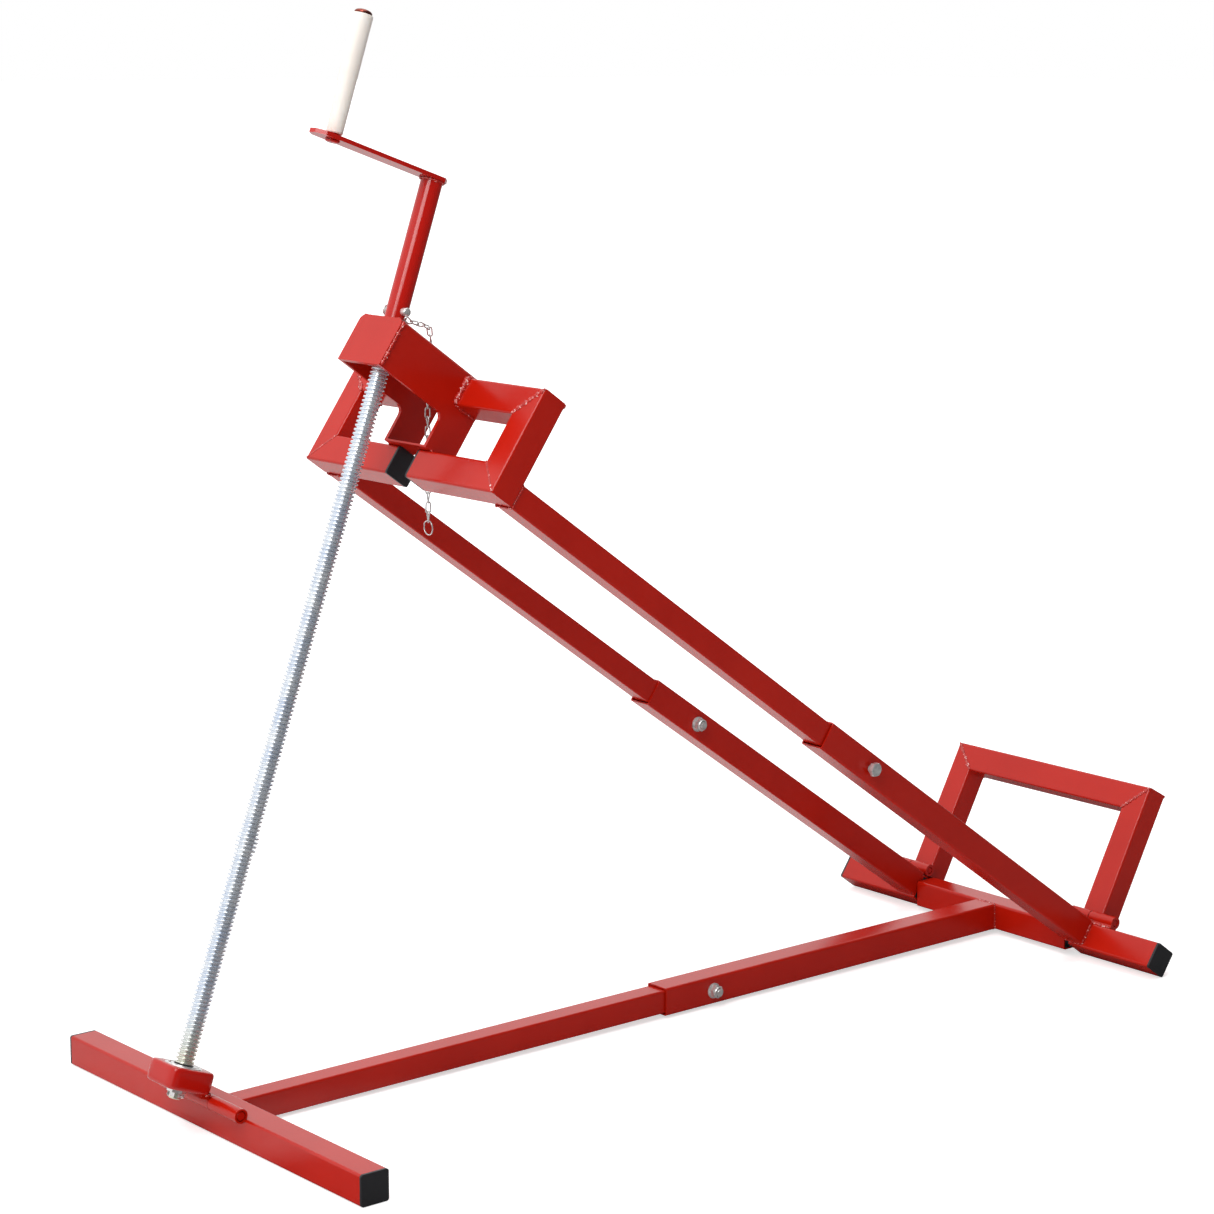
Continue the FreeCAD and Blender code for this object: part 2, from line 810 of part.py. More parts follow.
front = new_body(
    "head_front_plate", pose(LIFT, on_lift(MM["head_end"], 0, 0), along=ARM_UP)
)
sketch = new_sketch(front, "YZ_Plane", "Face")
add_rounded_rectangle(
    sketch, -half_width, half_width, SIZE["head_under"] - 12, top, SIZE["head_bend"]
)
pad(front, sketch, SIZE["plate"])
sketch = new_sketch(front, "YZ_Plane", "Trim")
add_polygon(
    sketch,
    (
        (-half_width - spare, SIZE["head_under"] - 20),
        (half_width + spare, SIZE["head_under"] - 20),
        (half_width + spare, SIZE["head_under"]),
        (-half_width - spare, SIZE["head_under"]),
    ),
)
cut_through(front, sketch)

strip_half = MM["head_half_width"] - MM["plate"] - 0.1
strip = block(
    "head_bottom_strip",
    SIZE["head_leg_end"] - SIZE["strip_start"],
    (SIZE["head_half_width"] - SIZE["plate"] - 0.1) * 2,
    SIZE["strip_thickness"],
    pose(LIFT, on_lift(MM["head_leg_end"], -strip_half, MM["head_foot"])),
)
strip.Label = "head_bottom_strip"

bush_length = SIZE["head_half_width"] - SIZE["plate"] - SIZE["nut_half_length"] - 0.6
group(
    "nut_bushes",
    [
        ring(
            side_name + "_nut_bush",
            SIZE["bush_radius"],
            SIZE["trunnion_radius"] + SIZE["pin_play"],
            bush_length,
            pose(
                LIFT,
                on_lift(
                    MM["nut_run"], side * (MM["nut_half_length"] + 0.5), MM["nut_height"]
                ),
                up=Vector(0, side, 0),
            ),
        )
        for side_name, side in SIDES
    ],
)

# Nut: a cylinder that lies across the head with a trunnion at each end.
nut_barrel = cylinder(
    "NutBarrel",
    SIZE["nut_radius"],
    SIZE["nut_half_length"] * 2,
    pose(WORLD, Vector(0, -MM["nut_half_length"], 0), up=Y_AXIS),
)
trunnion_half = MM["head_half_width"] - MM["plate"] - 0.6
nut_trunnion = cylinder(
    "NutTrunnions",
    SIZE["trunnion_radius"],
    (SIZE["head_half_width"] - SIZE["plate"] - 0.6) * 2,
    pose(WORLD, Vector(0, -trunnion_half, 0), up=Y_AXIS),
)
nut_solid = fuse("NutSolid", [nut_barrel, nut_trunnion])
nut_bore = cylinder(
    "NutBore",
    SIZE["screw_radius"] + 0.6,
    SIZE["nut_radius"] * 2 + 4,
    Placement(Vector(0, 0, -MM["nut_radius"] - 2), Rotation()),
)
lift_nut = cut("lift_nut", nut_solid, nut_bore, NUT)
lift_nut.Label = "lift_nut"

# ---------------------------------------------------------------- rear hoop

KNUCKLE_FIXED = (141.0, 175.0)
KNUCKLE_MOVING = (112.0, 140.0)


def knuckle(name, frame, side, span, neck_box):
    """A hinge tube around the frame's Y axis with a neck that joins it to its tube."""
    length = span[1] - span[0]
    outside = cylinder(
        name + "Outside",
        SIZE["barrel_radius"],
        length,
        pose(WORLD, Vector(0, side * span[0], 0), up=Vector(0, side, 0)),
    )
    x0, x1, y0, y1, z0, z1 = neck_box
    low_y = min(side * y0, side * y1)
    neck = block(
        name + "Neck",
        x1 - x0,
        y1 - y0,
        z1 - z0,
        Placement(Vector(x0, low_y, z0), Rotation()),
    )
    solid = fuse(name + "Solid", [outside, neck])
    bore = cylinder(
        name + "Bore",
        SIZE["hoop_pin_radius"] + SIZE["pin_play"],
        length + 4,
        pose(WORLD, Vector(0, side * (span[0] - 2), 0), up=Vector(0, side, 0)),
    )
    return cut(name, solid, bore, frame)


hoop_fixed = Placement(HOOP_PIVOT, LIFT.Rotation)
stub_top = HALF_TUBE + 0.1 - MM["hoop_pivot_height"]
leg_front = MM["hoop_setback"] - 0.1
group(
    "hoop_fixed_knuckles",
    [
        knuckle(
            side_name + "_fixed_knuckle",
            hoop_fixed,
            side,
            KNUCKLE_FIXED,
            (-5.0, 5.0, *KNUCKLE_FIXED, stub_top, -4.0),
        )
        for side_name, side in SIDES
    ],
)
group(
    "hoop_knuckles",
    [
        knuckle(
            side_name + "_hoop_knuckle",
            HOOP,
            side,
            KNUCKLE_MOVING,
            (4.0, leg_front, 118.5, KNUCKLE_MOVING[1], -4.0, 5.0),
        )
        for side_name, side in SIDES
    ],
)
pin_span = (KNUCKLE_MOVING[0] + 0.5, KNUCKLE_FIXED[1] - 0.5)
group(
    "hoop_pins",
    [
        cylinder(
            side_name + "_hoop_pin",
            SIZE["hoop_pin_radius"],
            pin_span[1] - pin_span[0],
            pose(hoop_fixed, Vector(0, side * pin_span[0], 0), up=Vector(0, side, 0)),
        )
        for side_name, side in SIDES
    ],
)
hoop_centre_x = MM["hoop_setback"] + HALF_TUBE
hoop_leg_centre = MM["hoop_half_width"] - HALF_TUBE
hoop_leg_length = SIZE["hoop_rise"] + SIZE["hoop_drop"]
for side_name, side in SIDES:
    leg = square_tube(
        side_name + "_hoop_leg",
        hoop_leg_length,
        pose(
            HOOP,
            Vector(hoop_centre_x, side * hoop_leg_centre, -MM["hoop_drop"]),
            along=Z_AXIS,
            up=Vector(0, side, 0),
        ),
    )
    mitre(leg, hoop_leg_length, 1)
hoop_top = square_tube(
    "hoop_top",
    SIZE["hoop_half_width"] * 2,
    pose(
        HOOP,
        Vector(hoop_centre_x, -MM["hoop_half_width"], MM["hoop_rise"] - HALF_TUBE),
        along=Y_AXIS,
    ),
)
mitre(hoop_top, SIZE["hoop_half_width"] * 2, 1)
mitre(hoop_top, 0, 1, at_start=True)

# ---------------------------------------------------------------- spindle hinge block

# The spindle axis is in front of the hinge, so it has a negative X in the spindle frame.
AXIS_X = -MM["spindle_offset"]
hinge_block = new_body("hinge_block", pose(SPINDLE, Vector(AXIS_X, 0, MM["block_low"])))
half_depth = SIZE["block_depth"] / 2
half_block = SIZE["block_width"] / 2
sketch = new_sketch(hinge_block, "XY_Plane", "Outline")
add_rounded_rectangle(
    sketch, -half_depth, half_depth, -half_block, half_block, SIZE["block_corner"]
)
add_circle(sketch, 0, 0, SIZE["journal_radius"] + 0.5)
pad(hinge_block, sketch, SIZE["block_height"])
seat_face = new_sketch(hinge_block, "XY_Plane", "Seat")
add_circle(seat_face, 0, 0, SIZE["bearing_radius"] + 0.05)
seat = hinge_block.newObject("PartDesign::Pocket", "BearingSeat")
seat.Profile = seat_face
seat.Type = "Length"
seat.Reversed = True
seat_face.AttachmentOffset = Placement(
    Vector(0, 0, MM["bearing_seat"] - MM["block_low"]), Rotation()
)
seat.SideType = "One side"
bind(seat, Length=SIZE["block_height"])

bearing = ring(
    "thrust_bearing",
    SIZE["bearing_radius"],
    SIZE["journal_radius"] + SIZE["pin_play"],
    SIZE["block_low"] + SIZE["block_height"] - SIZE["bearing_seat"],
    pose(SPINDLE, Vector(AXIS_X, 0, MM["bearing_seat"])),
)
bearing.Label = "thrust_bearing"

barrel_half = MM["barrel_inner"] - 0.6
neck_low = MM["block_low"] - 4.5
barrel_outside = cylinder(
    "BlockBarrelOutside",
    SIZE["barrel_radius"],
    (SIZE["barrel_inner"] - 0.6) * 2,
    pose(WORLD, Vector(0, -barrel_half, 0), up=Y_AXIS),
)
barrel_neck = block(
    "BlockBarrelNeck",
    10.0,
    (SIZE["barrel_inner"] - 0.6) * 2,
    SIZE["block_low"] - 0.1 - neck_low,
    Placement(Vector(-15.0, -barrel_half, neck_low), Rotation()),
)
barrel_solid = fuse("BlockBarrelSolid", [barrel_outside, barrel_neck])
barrel_bore = cylinder(
    "BlockBarrelBore",
    SIZE["hinge_pin_radius"] + SIZE["pin_play"],
    (SIZE["barrel_inner"] + 2) * 2,
    pose(WORLD, Vector(0, -MM["barrel_inner"] - 2, 0), up=Y_AXIS),
)
block_barrel = cut("block_barrel", barrel_solid, barrel_bore, SPINDLE)
block_barrel.Label = "block_barrel"

# ---------------------------------------------------------------- spindle and crank


def on_spindle(height, across=0.0):
    """A point on the spindle axis, in the spindle frame."""
    return Vector(AXIS_X, across, height)


def turned(name, radius, low, high):
    """One turned length of the spindle between two heights."""
    low, high = as_size(low), as_size(high)
    item = cylinder(name, radius, high - low, Placement(Vector(0, 0, low.value), Rotation()))
    bind(item, **{"Placement.Base.z": low})
    return item


stop_top = SIZE["stop_height"] + SIZE["stop_length"]
spindle_solid = fuse(
    "SpindleSolid",
    [
        turned("SpindleJournal", SIZE["journal_radius"], SIZE["journal_end"], SIZE["screw_start"] + 2),
        turned("SpindleScrew", SIZE["screw_radius"], SIZE["screw_start"], SIZE["screw_end"]),
        turned("SpindleStop", SIZE["stop_radius"], SIZE["stop_height"], stop_top),
        turned("SpindleCore", SIZE["crank_core_radius"], 745, SIZE["crank_core_end"]),
    ],
)
pin_hole_radius = SIZE["lock_pin_radius"] + SIZE["pin_play"]
core_hole = cylinder(
    "SpindlePinHole",
    pin_hole_radius,
    30.0,
    pose(WORLD, Vector(0, -15, MM["lock_pin_height"]), up=Y_AXIS),
)
cotter_hole = cylinder(
    "SpindleCotterHole",
    SIZE["cotter_radius"] + SIZE["pin_play"],
    24.0,
    pose(WORLD, Vector(0, -12, MM["cotter_height"]), up=Y_AXIS),
)
spindle_holes = fuse("SpindleHoles", [core_hole, cotter_hole])
spindle = cut("spindle", spindle_solid, spindle_holes, pose(SPINDLE, on_spindle(0)))
spindle.Label = "spindle"

castle_outside = hexagon("CastleOutside", 8.6, WORLD)
castle_bore = cylinder("CastleBore", SIZE["journal_radius"] + SIZE["pin_play"], 8.6, WORLD)
castle = cut("CastleRing", castle_outside, castle_bore)
castle_slots = []
for index in range(3):
    turn = Placement(Vector(), Rotation(Z_AXIS, 60.0 * index + 30.0))
    start = Placement(Vector(-12, -1.5, 0), Rotation())
    castle_slots.append(block("CastleSlot%d" % index, 24.0, 3.0, 4.0, turn.multiply(start)))
castle_cutter = fuse("CastleCutter", castle_slots)
castle_nut = cut("castle_nut", castle, castle_cutter, pose(SPINDLE, on_spindle(-2.5)))
castle_nut.Label = "castle_nut"
cotter = cylinder(
    "cotter_pin",
    SIZE["cotter_radius"],
    26.0,
    pose(SPINDLE, on_spindle(MM["cotter_height"], -13.0), up=Y_AXIS),
)
cotter.Label = "cotter_pin"

# The tube fits loosely over the end of the screw and leans on its lock pin.
lean_centre = on_spindle(MM["lock_pin_height"])
crank_turn = Placement(Vector(), Rotation(Y_AXIS, -MM["crank_lean"]))
CRANK = SPINDLE.multiply(Placement(lean_centre, Rotation())).multiply(crank_turn)


def on_crank(height, back=0.0):
    """A point of the crank tube's axis: height counts along the spindle, as on_spindle does."""
    return Vector(back, 0, height - MM["lock_pin_height"])


tube_length = SIZE["crank_tube_end"] - SIZE["crank_tube_start"]
crank_outside = cylinder("CrankTubeOutside", SIZE["crank_tube_radius"], tube_length, WORLD)
crank_bore = cylinder("CrankTubeBore", SIZE["crank_bore_radius"], tube_length, WORLD)
crank_ring = cut("CrankTubeRing", crank_outside, crank_bore)
crank_hole = cylinder(
    "CrankTubePinHole",
    pin_hole_radius,
    30.0,
    pose(WORLD, Vector(0, -15, MM["lock_pin_height"] - MM["crank_tube_start"]), up=Y_AXIS),
)
crank_tube = cut(
    "crank_tube", crank_ring, crank_hole, pose(CRANK, on_crank(MM["crank_tube_start"]))
)
crank_tube.Label = "crank_tube"

arm_level = MM["crank_tube_end"] + 0.05
crank_arm = new_body("crank_arm", pose(CRANK, on_crank(arm_level)))
sketch = new_sketch(crank_arm, "XY_Plane", "Outline")
arm_half = SIZE["arm_width"] / 2
bevel = SIZE["arm_chamfer"]
arm_tip = -SIZE["arm_front"]
arm_tail = SIZE["arm_back"]
add_polygon(
    sketch,
    (
        (arm_tip + bevel, -arm_half),
        (arm_tail - bevel, -arm_half),
        (arm_tail, -arm_half + bevel),
        (arm_tail, arm_half - bevel),
        (arm_tail - bevel, arm_half),
        (arm_tip + bevel, arm_half),
        (arm_tip, arm_half - bevel),
        (arm_tip, -arm_half + bevel),
    ),
)
add_circle(sketch, -SIZE["crank_radius"], 0, SIZE["axle_radius"] + 0.15)
pad(crank_arm, sketch, SIZE["arm_thickness"])

pin_head_start = MM["crank_tube_radius"] + 3.5
pin_shank = cylinder("LockPinShank", SIZE["lock_pin_radius"], 33.0, WORLD)
pin_head = cylinder("LockPinHead", 4.5, 3.0, Placement(Vector(0, 0, -3), Rotation()))
lock_pin = fuse(
    "lock_pin",
    [pin_shank, pin_head],
    pose(SPINDLE, on_spindle(MM["lock_pin_height"], -pin_head_start), up=Y_AXIS),
)
lock_pin.Label = "lock_pin"
clip = doc.addObject("Part::Torus", "pin_clip")
bind(clip, Radius1=SIZE["lock_pin_radius"] + 1.0, Radius2=0.9)
clip.Placement = pose(SPINDLE, on_spindle(MM["lock_pin_height"], 15.0), up=Y_AXIS)
clip.Label = "pin_clip"

# ---------------------------------------------------------------- crank grip

# The axle leans a little in its hole; its foot and the grip stand clear of the arm.
AXLE = CRANK.multiply(
    Placement(on_crank(arm_level, -MM["crank_radius"]), Rotation(Y_AXIS, -MM["grip_lean"]))
)
FOOT_GAP = 0.3
axle_length = SIZE["arm_thickness"] + SIZE["grip_lift"] + SIZE["grip_length"] + 2
shank_start = Placement(Vector(0, 0, -FOOT_GAP - 0.2), Rotation())
axle_shank = cylinder("AxleShank", SIZE["axle_radius"], axle_length + 1.5, shank_start)
axle_foot = cylinder("AxleFoot", 7.0, 2.0, Placement(Vector(0, 0, -2 - FOOT_GAP), Rotation()))
axle_head = cylinder("AxleHead", 7.5, 2.5, WORLD)
bind(axle_head, **{"Placement.Base.z": axle_length + 0.5})
grip_axle = fuse("grip_axle", [axle_shank, axle_foot, axle_head], AXLE)
grip_axle.Label = "grip_axle"
grip_cone = doc.addObject("Part::Cone", "GripCone")
bind(
    grip_cone,
    Radius1=SIZE["grip_low_radius"],
    Radius2=SIZE["grip_top_radius"],
    Height=SIZE["grip_length"],
)
grip_bore = cylinder("GripBore", SIZE["axle_radius"] + 0.1, SIZE["grip_length"], WORLD)
grip_low = MM["arm_thickness"] + MM["grip_lift"]
grip = cut("grip", grip_cone, grip_bore, pose(AXLE, Vector(0, 0, grip_low)))
grip.Label = "grip"

# ---------------------------------------------------------------- keeper chain


def chain_link(name, placement):
    """An oval link: its long way is its own X axis and its wire lies in its XY plane."""
    body = new_body(name, placement)
    half = SIZE["link_length"] / 2
    side = SIZE["link_width"] / 2
    wire = SIZE["link_wire"]
    sketch = new_sketch(body, "XY_Plane", "Wire")
    add_rounded_rectangle(sketch, -half, half, -side, side, side - 0.1)
    add_rounded_rectangle(
        sketch, wire - half, half - wire, wire - side, side - wire, side - wire - 0.1
    )
    pad(body, sketch, wire, midplane=True)
    return body


LINK_STEP = MM["link_length"] - 2 * MM["link_wire"] - 0.1
HANGING_LINKS = 17
DOWN = Vector(0, 0, -1)
hanging = []
for index in range(HANGING_LINKS):
    across = Y_AXIS if index % 2 else X_AXIS
    height = MM["chain_top"] - MM["link_length"] / 2 - index * LINK_STEP
    where = pose(WORLD, Vector(MM["chain_x"], 0, height), along=DOWN, up=across)
    hanging.append(chain_link("HangingLink%d" % index, where))
group("hanging_chain", hanging)
last_end = MM["chain_top"] - (HANGING_LINKS - 1) * LINK_STEP - MM["link_length"]
ring_centre = last_end + MM["link_wire"] + MM["ring_wire"] + 0.1 - MM["ring_radius"]
split_ring = doc.addObject("Part::Torus", "split_ring")
bind(split_ring, Radius1=SIZE["ring_radius"], Radius2=SIZE["ring_wire"])
split_ring.Placement = pose(WORLD, Vector(MM["chain_x"], 0, ring_centre), up=X_AXIS)
split_ring.Label = "split_ring"

# A second, short run rises from the web's hole towards the lock pin.
rising = []
RISING_LINKS = 3
rising_foot = on_lift(MM["chain_hole_run"] + 4, -1, MM["head_top"] + 6)
rising_top = on_lift(MM["chain_hole_run"] + 22, -9, MM["head_top"] + 19)
rising_way = (rising_top - rising_foot).normalize()
sideways = rising_way.cross(Y_AXIS).normalize()
for index in range(RISING_LINKS):
    tip = Rotation(rising_way, 90.0 * (index % 2) + 45.0).multVec(sideways)
    centre = rising_foot + rising_way * (index * LINK_STEP)
    where = pose(LIFT, centre, along=rising_way, up=tip)
    rising.append(chain_link("RisingLink%d" % index, where))
group("pin_chain", rising)

# ---------------------------------------------------------------- export

NODES = (
    "foot_tube foot_end_caps base_inner_tube base_sleeve rear_cross_sleeve pivot_bushes "
    "base_bolt base_nut base_washer foot_hinge_barrels foot_hinge_pin "
    "pivot_rod pivot_spacer stub_bushes stub_end_caps right_stub left_stub "
    "right_arm_sleeve left_arm_sleeve right_arm_inner left_arm_inner "
    "arm_bolts arm_nuts arm_washers right_frame_side left_frame_side "
    "right_frame_top left_frame_top right_frame_bottom left_frame_bottom frame_end_caps "
    "head_channel head_front_plate head_bottom_strip nut_bushes hoop_fixed_knuckles hoop_pins "
    "lift_nut hoop_top right_hoop_leg left_hoop_leg hoop_knuckles "
    "hinge_block thrust_bearing block_barrel "
    "spindle castle_nut cotter_pin crank_tube crank_arm grip_axle lock_pin pin_clip grip "
    "hanging_chain split_ring pin_chain"
).split()

doc.recompute()
for item in doc.Objects:
    if "Invalid" in item.State or "Error" in item.State:
        raise RuntimeError("%s did not compute: %s" % (item.Name, item.State))

os.makedirs("parts", exist_ok=True)
for node in NODES:
    item = doc.getObjectsByLabel(node)[0]
    if item.Shape.isNull() or not item.Shape.isValid():
        raise RuntimeError("%s has a bad shape" % node)
    item.Shape.exportStep("parts/%s.step" % node)
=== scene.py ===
import json
import math
import random

import bpy
from mathutils import Matrix, Vector


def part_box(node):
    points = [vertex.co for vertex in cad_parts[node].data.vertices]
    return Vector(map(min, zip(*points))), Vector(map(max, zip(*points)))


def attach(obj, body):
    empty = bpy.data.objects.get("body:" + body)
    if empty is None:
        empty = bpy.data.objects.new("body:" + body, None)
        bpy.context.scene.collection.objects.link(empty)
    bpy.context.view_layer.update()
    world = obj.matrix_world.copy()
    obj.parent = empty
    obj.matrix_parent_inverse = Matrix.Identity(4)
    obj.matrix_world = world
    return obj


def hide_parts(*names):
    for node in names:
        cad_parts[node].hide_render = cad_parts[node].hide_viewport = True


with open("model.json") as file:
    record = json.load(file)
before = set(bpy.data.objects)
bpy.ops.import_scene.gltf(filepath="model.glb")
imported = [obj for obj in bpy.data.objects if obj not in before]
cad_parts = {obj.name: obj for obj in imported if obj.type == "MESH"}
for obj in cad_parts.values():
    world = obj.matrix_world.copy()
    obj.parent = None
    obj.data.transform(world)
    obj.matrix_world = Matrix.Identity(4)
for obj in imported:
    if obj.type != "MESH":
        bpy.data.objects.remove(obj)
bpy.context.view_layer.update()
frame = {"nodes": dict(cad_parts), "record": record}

MM = 0.001
X, Y, Z = Vector((1, 0, 0)), Vector((0, 1, 0)), Vector((0, 0, 1))

# ---------------------------------------------------------------- frames of reference

joints = {joint["name"]: joint for joint in frame["record"]["behaviour"]["joints"]}
PIVOT = Vector(joints["lift_pivot"]["pos_m"])
HINGE = Vector(joints["spindle_tilt"]["pos_m"])
HOOP_PIVOT = Vector(joints["hoop_fold"]["pos_m"])
SPINDLE_UP = Vector(joints["crank_spin"]["axis"]).normalized()
SPINDLE_BASE = Vector(joints["crank_spin"]["pos_m"])
CHAIN_X = joints["chain_swing"]["pos_m"][0]
LIFT_ANGLE = math.radians(35.15)
ARM = Vector((-math.cos(LIFT_ANGLE), 0, math.sin(LIFT_ANGLE)))
NORMAL = Vector((math.sin(LIFT_ANGLE), 0, math.cos(LIFT_ANGLE)))
HOOP_LEAN = LIFT_ANGLE - math.radians(6.49)
HOOP_UP = Vector((math.sin(HOOP_LEAN), 0, math.cos(HOOP_LEAN)))
HOOP_BACK = Vector((math.cos(HOOP_LEAN), 0, -math.sin(HOOP_LEAN)))
SPINDLE_BACK = Vector((SPINDLE_UP.z, 0, -SPINDLE_UP.x))
HALF = 0.015  # half the width of the outer square tubes
BASE_UP = Vector((-(PIVOT.z - HALF), 0, PIVOT.x)).normalized()
BASE_BACK = Vector((BASE_UP.z, 0, -BASE_UP.x))


def lift(run, across, height):
    """A point on the lifting arms, from millimetres along, across and above them."""
    return PIVOT + (ARM * run + Y * across + NORMAL * height) * MM


def hoop(back, across, up):
    """A point on the rear hoop, in millimetres behind, across and above its hinge."""
    return HOOP_PIVOT + (HOOP_BACK * back + Y * across + HOOP_UP * up) * MM


def base(run, across, height):
    """A point on the base tube, in millimetres from the middle of the foot tube."""
    return Vector((0, 0, HALF)) + (BASE_BACK * run + Y * across + BASE_UP * height) * MM


def spindle(back, across, up):
    """A point around the spindle axis, in millimetres."""
    return SPINDLE_BASE + (SPINDLE_BACK * back + Y * across + SPINDLE_UP * up) * MM


def frame_matrix(origin, x_axis, y_axis, z_axis):
    rows = Matrix((x_axis, y_axis, z_axis)).transposed().to_4x4()
    rows.translation = origin
    return rows


def around(origin, axis, side=None):
    """A frame whose Z axis is the given axis."""
    axis = axis.normalized()
    side = side or (X if abs(axis.x) < 0.9 else Y)
    side = (side - axis * side.dot(axis)).normalized()
    return frame_matrix(origin, side, axis.cross(side), axis)


SPINDLE = frame_matrix(SPINDLE_BASE, SPINDLE_BACK, Y, SPINDLE_UP)

# The crank leans a little on its lock pin, and the grip leans a little more on its axle.
PIN_HEIGHT = 759.0
CRANK_LEAN = math.radians(1.1)
CRANK_UP = Matrix.Rotation(-CRANK_LEAN, 3, "Y") @ SPINDLE_UP
CRANK_BACK = Matrix.Rotation(-CRANK_LEAN, 3, "Y") @ SPINDLE_BACK
CRANK_REACH = 120.0
ARM_LEVEL = 887.55
GRIP_UP = Vector(joints["grip_spin"]["axis"]).normalized()
GRIP_BACK = Vector((GRIP_UP.z, 0, -GRIP_UP.x))


def crank(back, across, up):
    """A point around the crank tube's axis, in millimetres from the spindle's foot."""
    pin = spindle(0, 0, PIN_HEIGHT)
    return pin + (CRANK_BACK * back + Y * across + CRANK_UP * (up - PIN_HEIGHT)) * MM


GRIP = frame_matrix(crank(-CRANK_REACH, 0, ARM_LEVEL), GRIP_BACK, Y, GRIP_UP)

# ---------------------------------------------------------------- materials

# Sockets of a Mix node that mixes colours.
MIX_FACTOR, MIX_FIRST, MIX_SECOND, MIX_RESULT = 0, 6, 7, 2


def shader_of(material):
    return material.node_tree.nodes["Principled BSDF"]


def new_material(name, color, roughness, metallic=0.0, coat=0.0, specular=0.5):
    material = bpy.data.materials.new(name)
    material.use_nodes = True
    sockets = shader_of(material).inputs
    sockets["Base Color"].default_value = (*color, 1)
    sockets["Roughness"].default_value = roughness
    sockets["Metallic"].default_value = metallic
    sockets["Coat Weight"].default_value = coat
    sockets["Coat Roughness"].default_value = 0.1
    sockets["Specular IOR Level"].default_value = specular
    return material


def node(owner, kind, **inputs):
    """Add a node to a material or world. Its sockets are named with _ for a space."""
    item = owner.node_tree.nodes.new(kind)
    for key, value in inputs.items():
        item.inputs[key.replace("_", " ")].default_value = value
    return item


def link(owner, source, output, target, socket):
    owner.node_tree.links.new(source.outputs[output], target.inputs[socket])


def object_noise(material, scale, detail, roughness):
    """Noise laid out in the object's own coordinates."""
    place = node(material, "ShaderNodeTexCoord")
    noise = node(
        material, "ShaderNodeTexNoise", Scale=scale, Detail=detail, Roughness=roughness
    )
    link(material, place, "Object", noise, "Vector")
    return noise


def tone_ramp(material, low, high, start, end):
    ramp = node(material, "ShaderNodeValToRGB")
    first, last = ramp.color_ramp.elements
    first.position, last.position = start, end
    first.color, last.color = (*low, 1), (*high, 1)
    return ramp


def color_mix(material, first=None, second=None):
    mix = node(material, "ShaderNodeMix")
    mix.data_type = "RGBA"
    for socket, color in ((MIX_FIRST, first), (MIX_SECOND, second)):
        if color:
            mix.inputs[socket].default_value = (*color, 1)
    return mix


def add_bump(material, scale, strength, distance):
    noise = object_noise(material, scale, 2.0, 0.5)
    bump = node(material, "ShaderNodeBump", Strength=strength, Distance=distance)
    link(material, noise, "Fac", bump, "Height")
    link(material, bump, "Normal", shader_of(material), "Normal")


def add_blotches(material, low, high, scale, start=0.32, end=0.68):
    """Let the base colour wander between two tones."""
    noise = object_noise(material, scale, 3.0, 0.6)
    ramp = tone_ramp(material, low, high, start, end)
    link(material, noise, "Fac", ramp, "Fac")
    link(material, ramp, "Color", shader_of(material), "Base Color")
    return ramp


def add_roughness(material, low, high, scale):
    noise = object_noise(material, scale, 4.0, 0.6)
    spread = node(material, "ShaderNodeMapRange", To_Min=low, To_Max=high)
    link(material, noise, "Fac", spread, "Value")
    link(material, spread, "Result", shader_of(material), "Roughness")


red = new_material("red_powder_coat", (0.485, 0.009, 0.002), 0.22, specular=0.42)
add_blotches(red, (0.455, 0.008, 0.0015), (0.515, 0.011, 0.003), 9.0)
add_roughness(red, 0.17, 0.25, 30.0)
add_bump(red, 420.0, 0.10, 0.0004)

# Weld beads: random tones, plus small pale specks painted into the colour as painted highlights
# (glints).
weld_red = new_material("red_weld", (0.46, 0.012, 0.006), 0.22, coat=0.5)
weld_tones_and_painted_glints = add_blotches(
    weld_red, (0.40, 0.008, 0.004), (0.55, 0.02, 0.012), 330.0, start=0.40, end=0.60
)
# painted highlights: the highest noise turns pale pinkish white, standing in for glints of light
# on the bead
weld_tones_and_painted_glints.color_ramp.elements.new(0.66).color = (0.95, 0.70, 0.66, 1)
add_bump(weld_red, 700.0, 0.5, 0.0006)

# The round and flat bars of the crank and the hinges are glossier than the square tubes.
tube_red = new_material("red_tube_coat", (0.50, 0.007, 0.003), 0.12)
add_blotches(tube_red, (0.46, 0.006, 0.0025), (0.53, 0.009, 0.004), 9.0)
add_roughness(tube_red, 0.09, 0.15, 30.0)

zinc = new_material("zinc_screw", (0.84, 0.89, 0.98), 0.18, metallic=0.76)
add_bump(zinc, 900.0, 0.25, 0.0002)
add_roughness(zinc, 0.10, 0.24, 200.0)

steel = new_material("bright_steel", (0.86, 0.86, 0.85), 0.18, metallic=0.66)
add_blotches(steel, (0.62, 0.62, 0.61), (0.97, 0.97, 0.96), 260.0)
add_roughness(steel, 0.08, 0.22, 260.0)

plastic = new_material("black_plastic", (0.018, 0.018, 0.021), 0.40)
add_bump(plastic, 900.0, 0.25, 0.0003)
add_roughness(plastic, 0.38, 0.55, 60.0)

cream = new_material("cream_plastic", (0.88, 0.82, 0.76), 0.5)
shader_of(cream).inputs["Subsurface Weight"].default_value = 0.6
shader_of(cream).inputs["Subsurface Radius"].default_value = (0.012, 0.011, 0.010)
add_blotches(cream, (0.865, 0.80, 0.74), (0.90, 0.845, 0.785), 25.0)
add_bump(cream, 240.0, 0.12, 0.0004)

copper = new_material("copper_rivet", (0.30, 0.07, 0.05), 0.20, metallic=1.0)
add_blotches(copper, (0.20, 0.04, 0.03), (0.40, 0.11, 0.08), 300.0)
add_roughness(copper, 0.14, 0.30, 300.0)

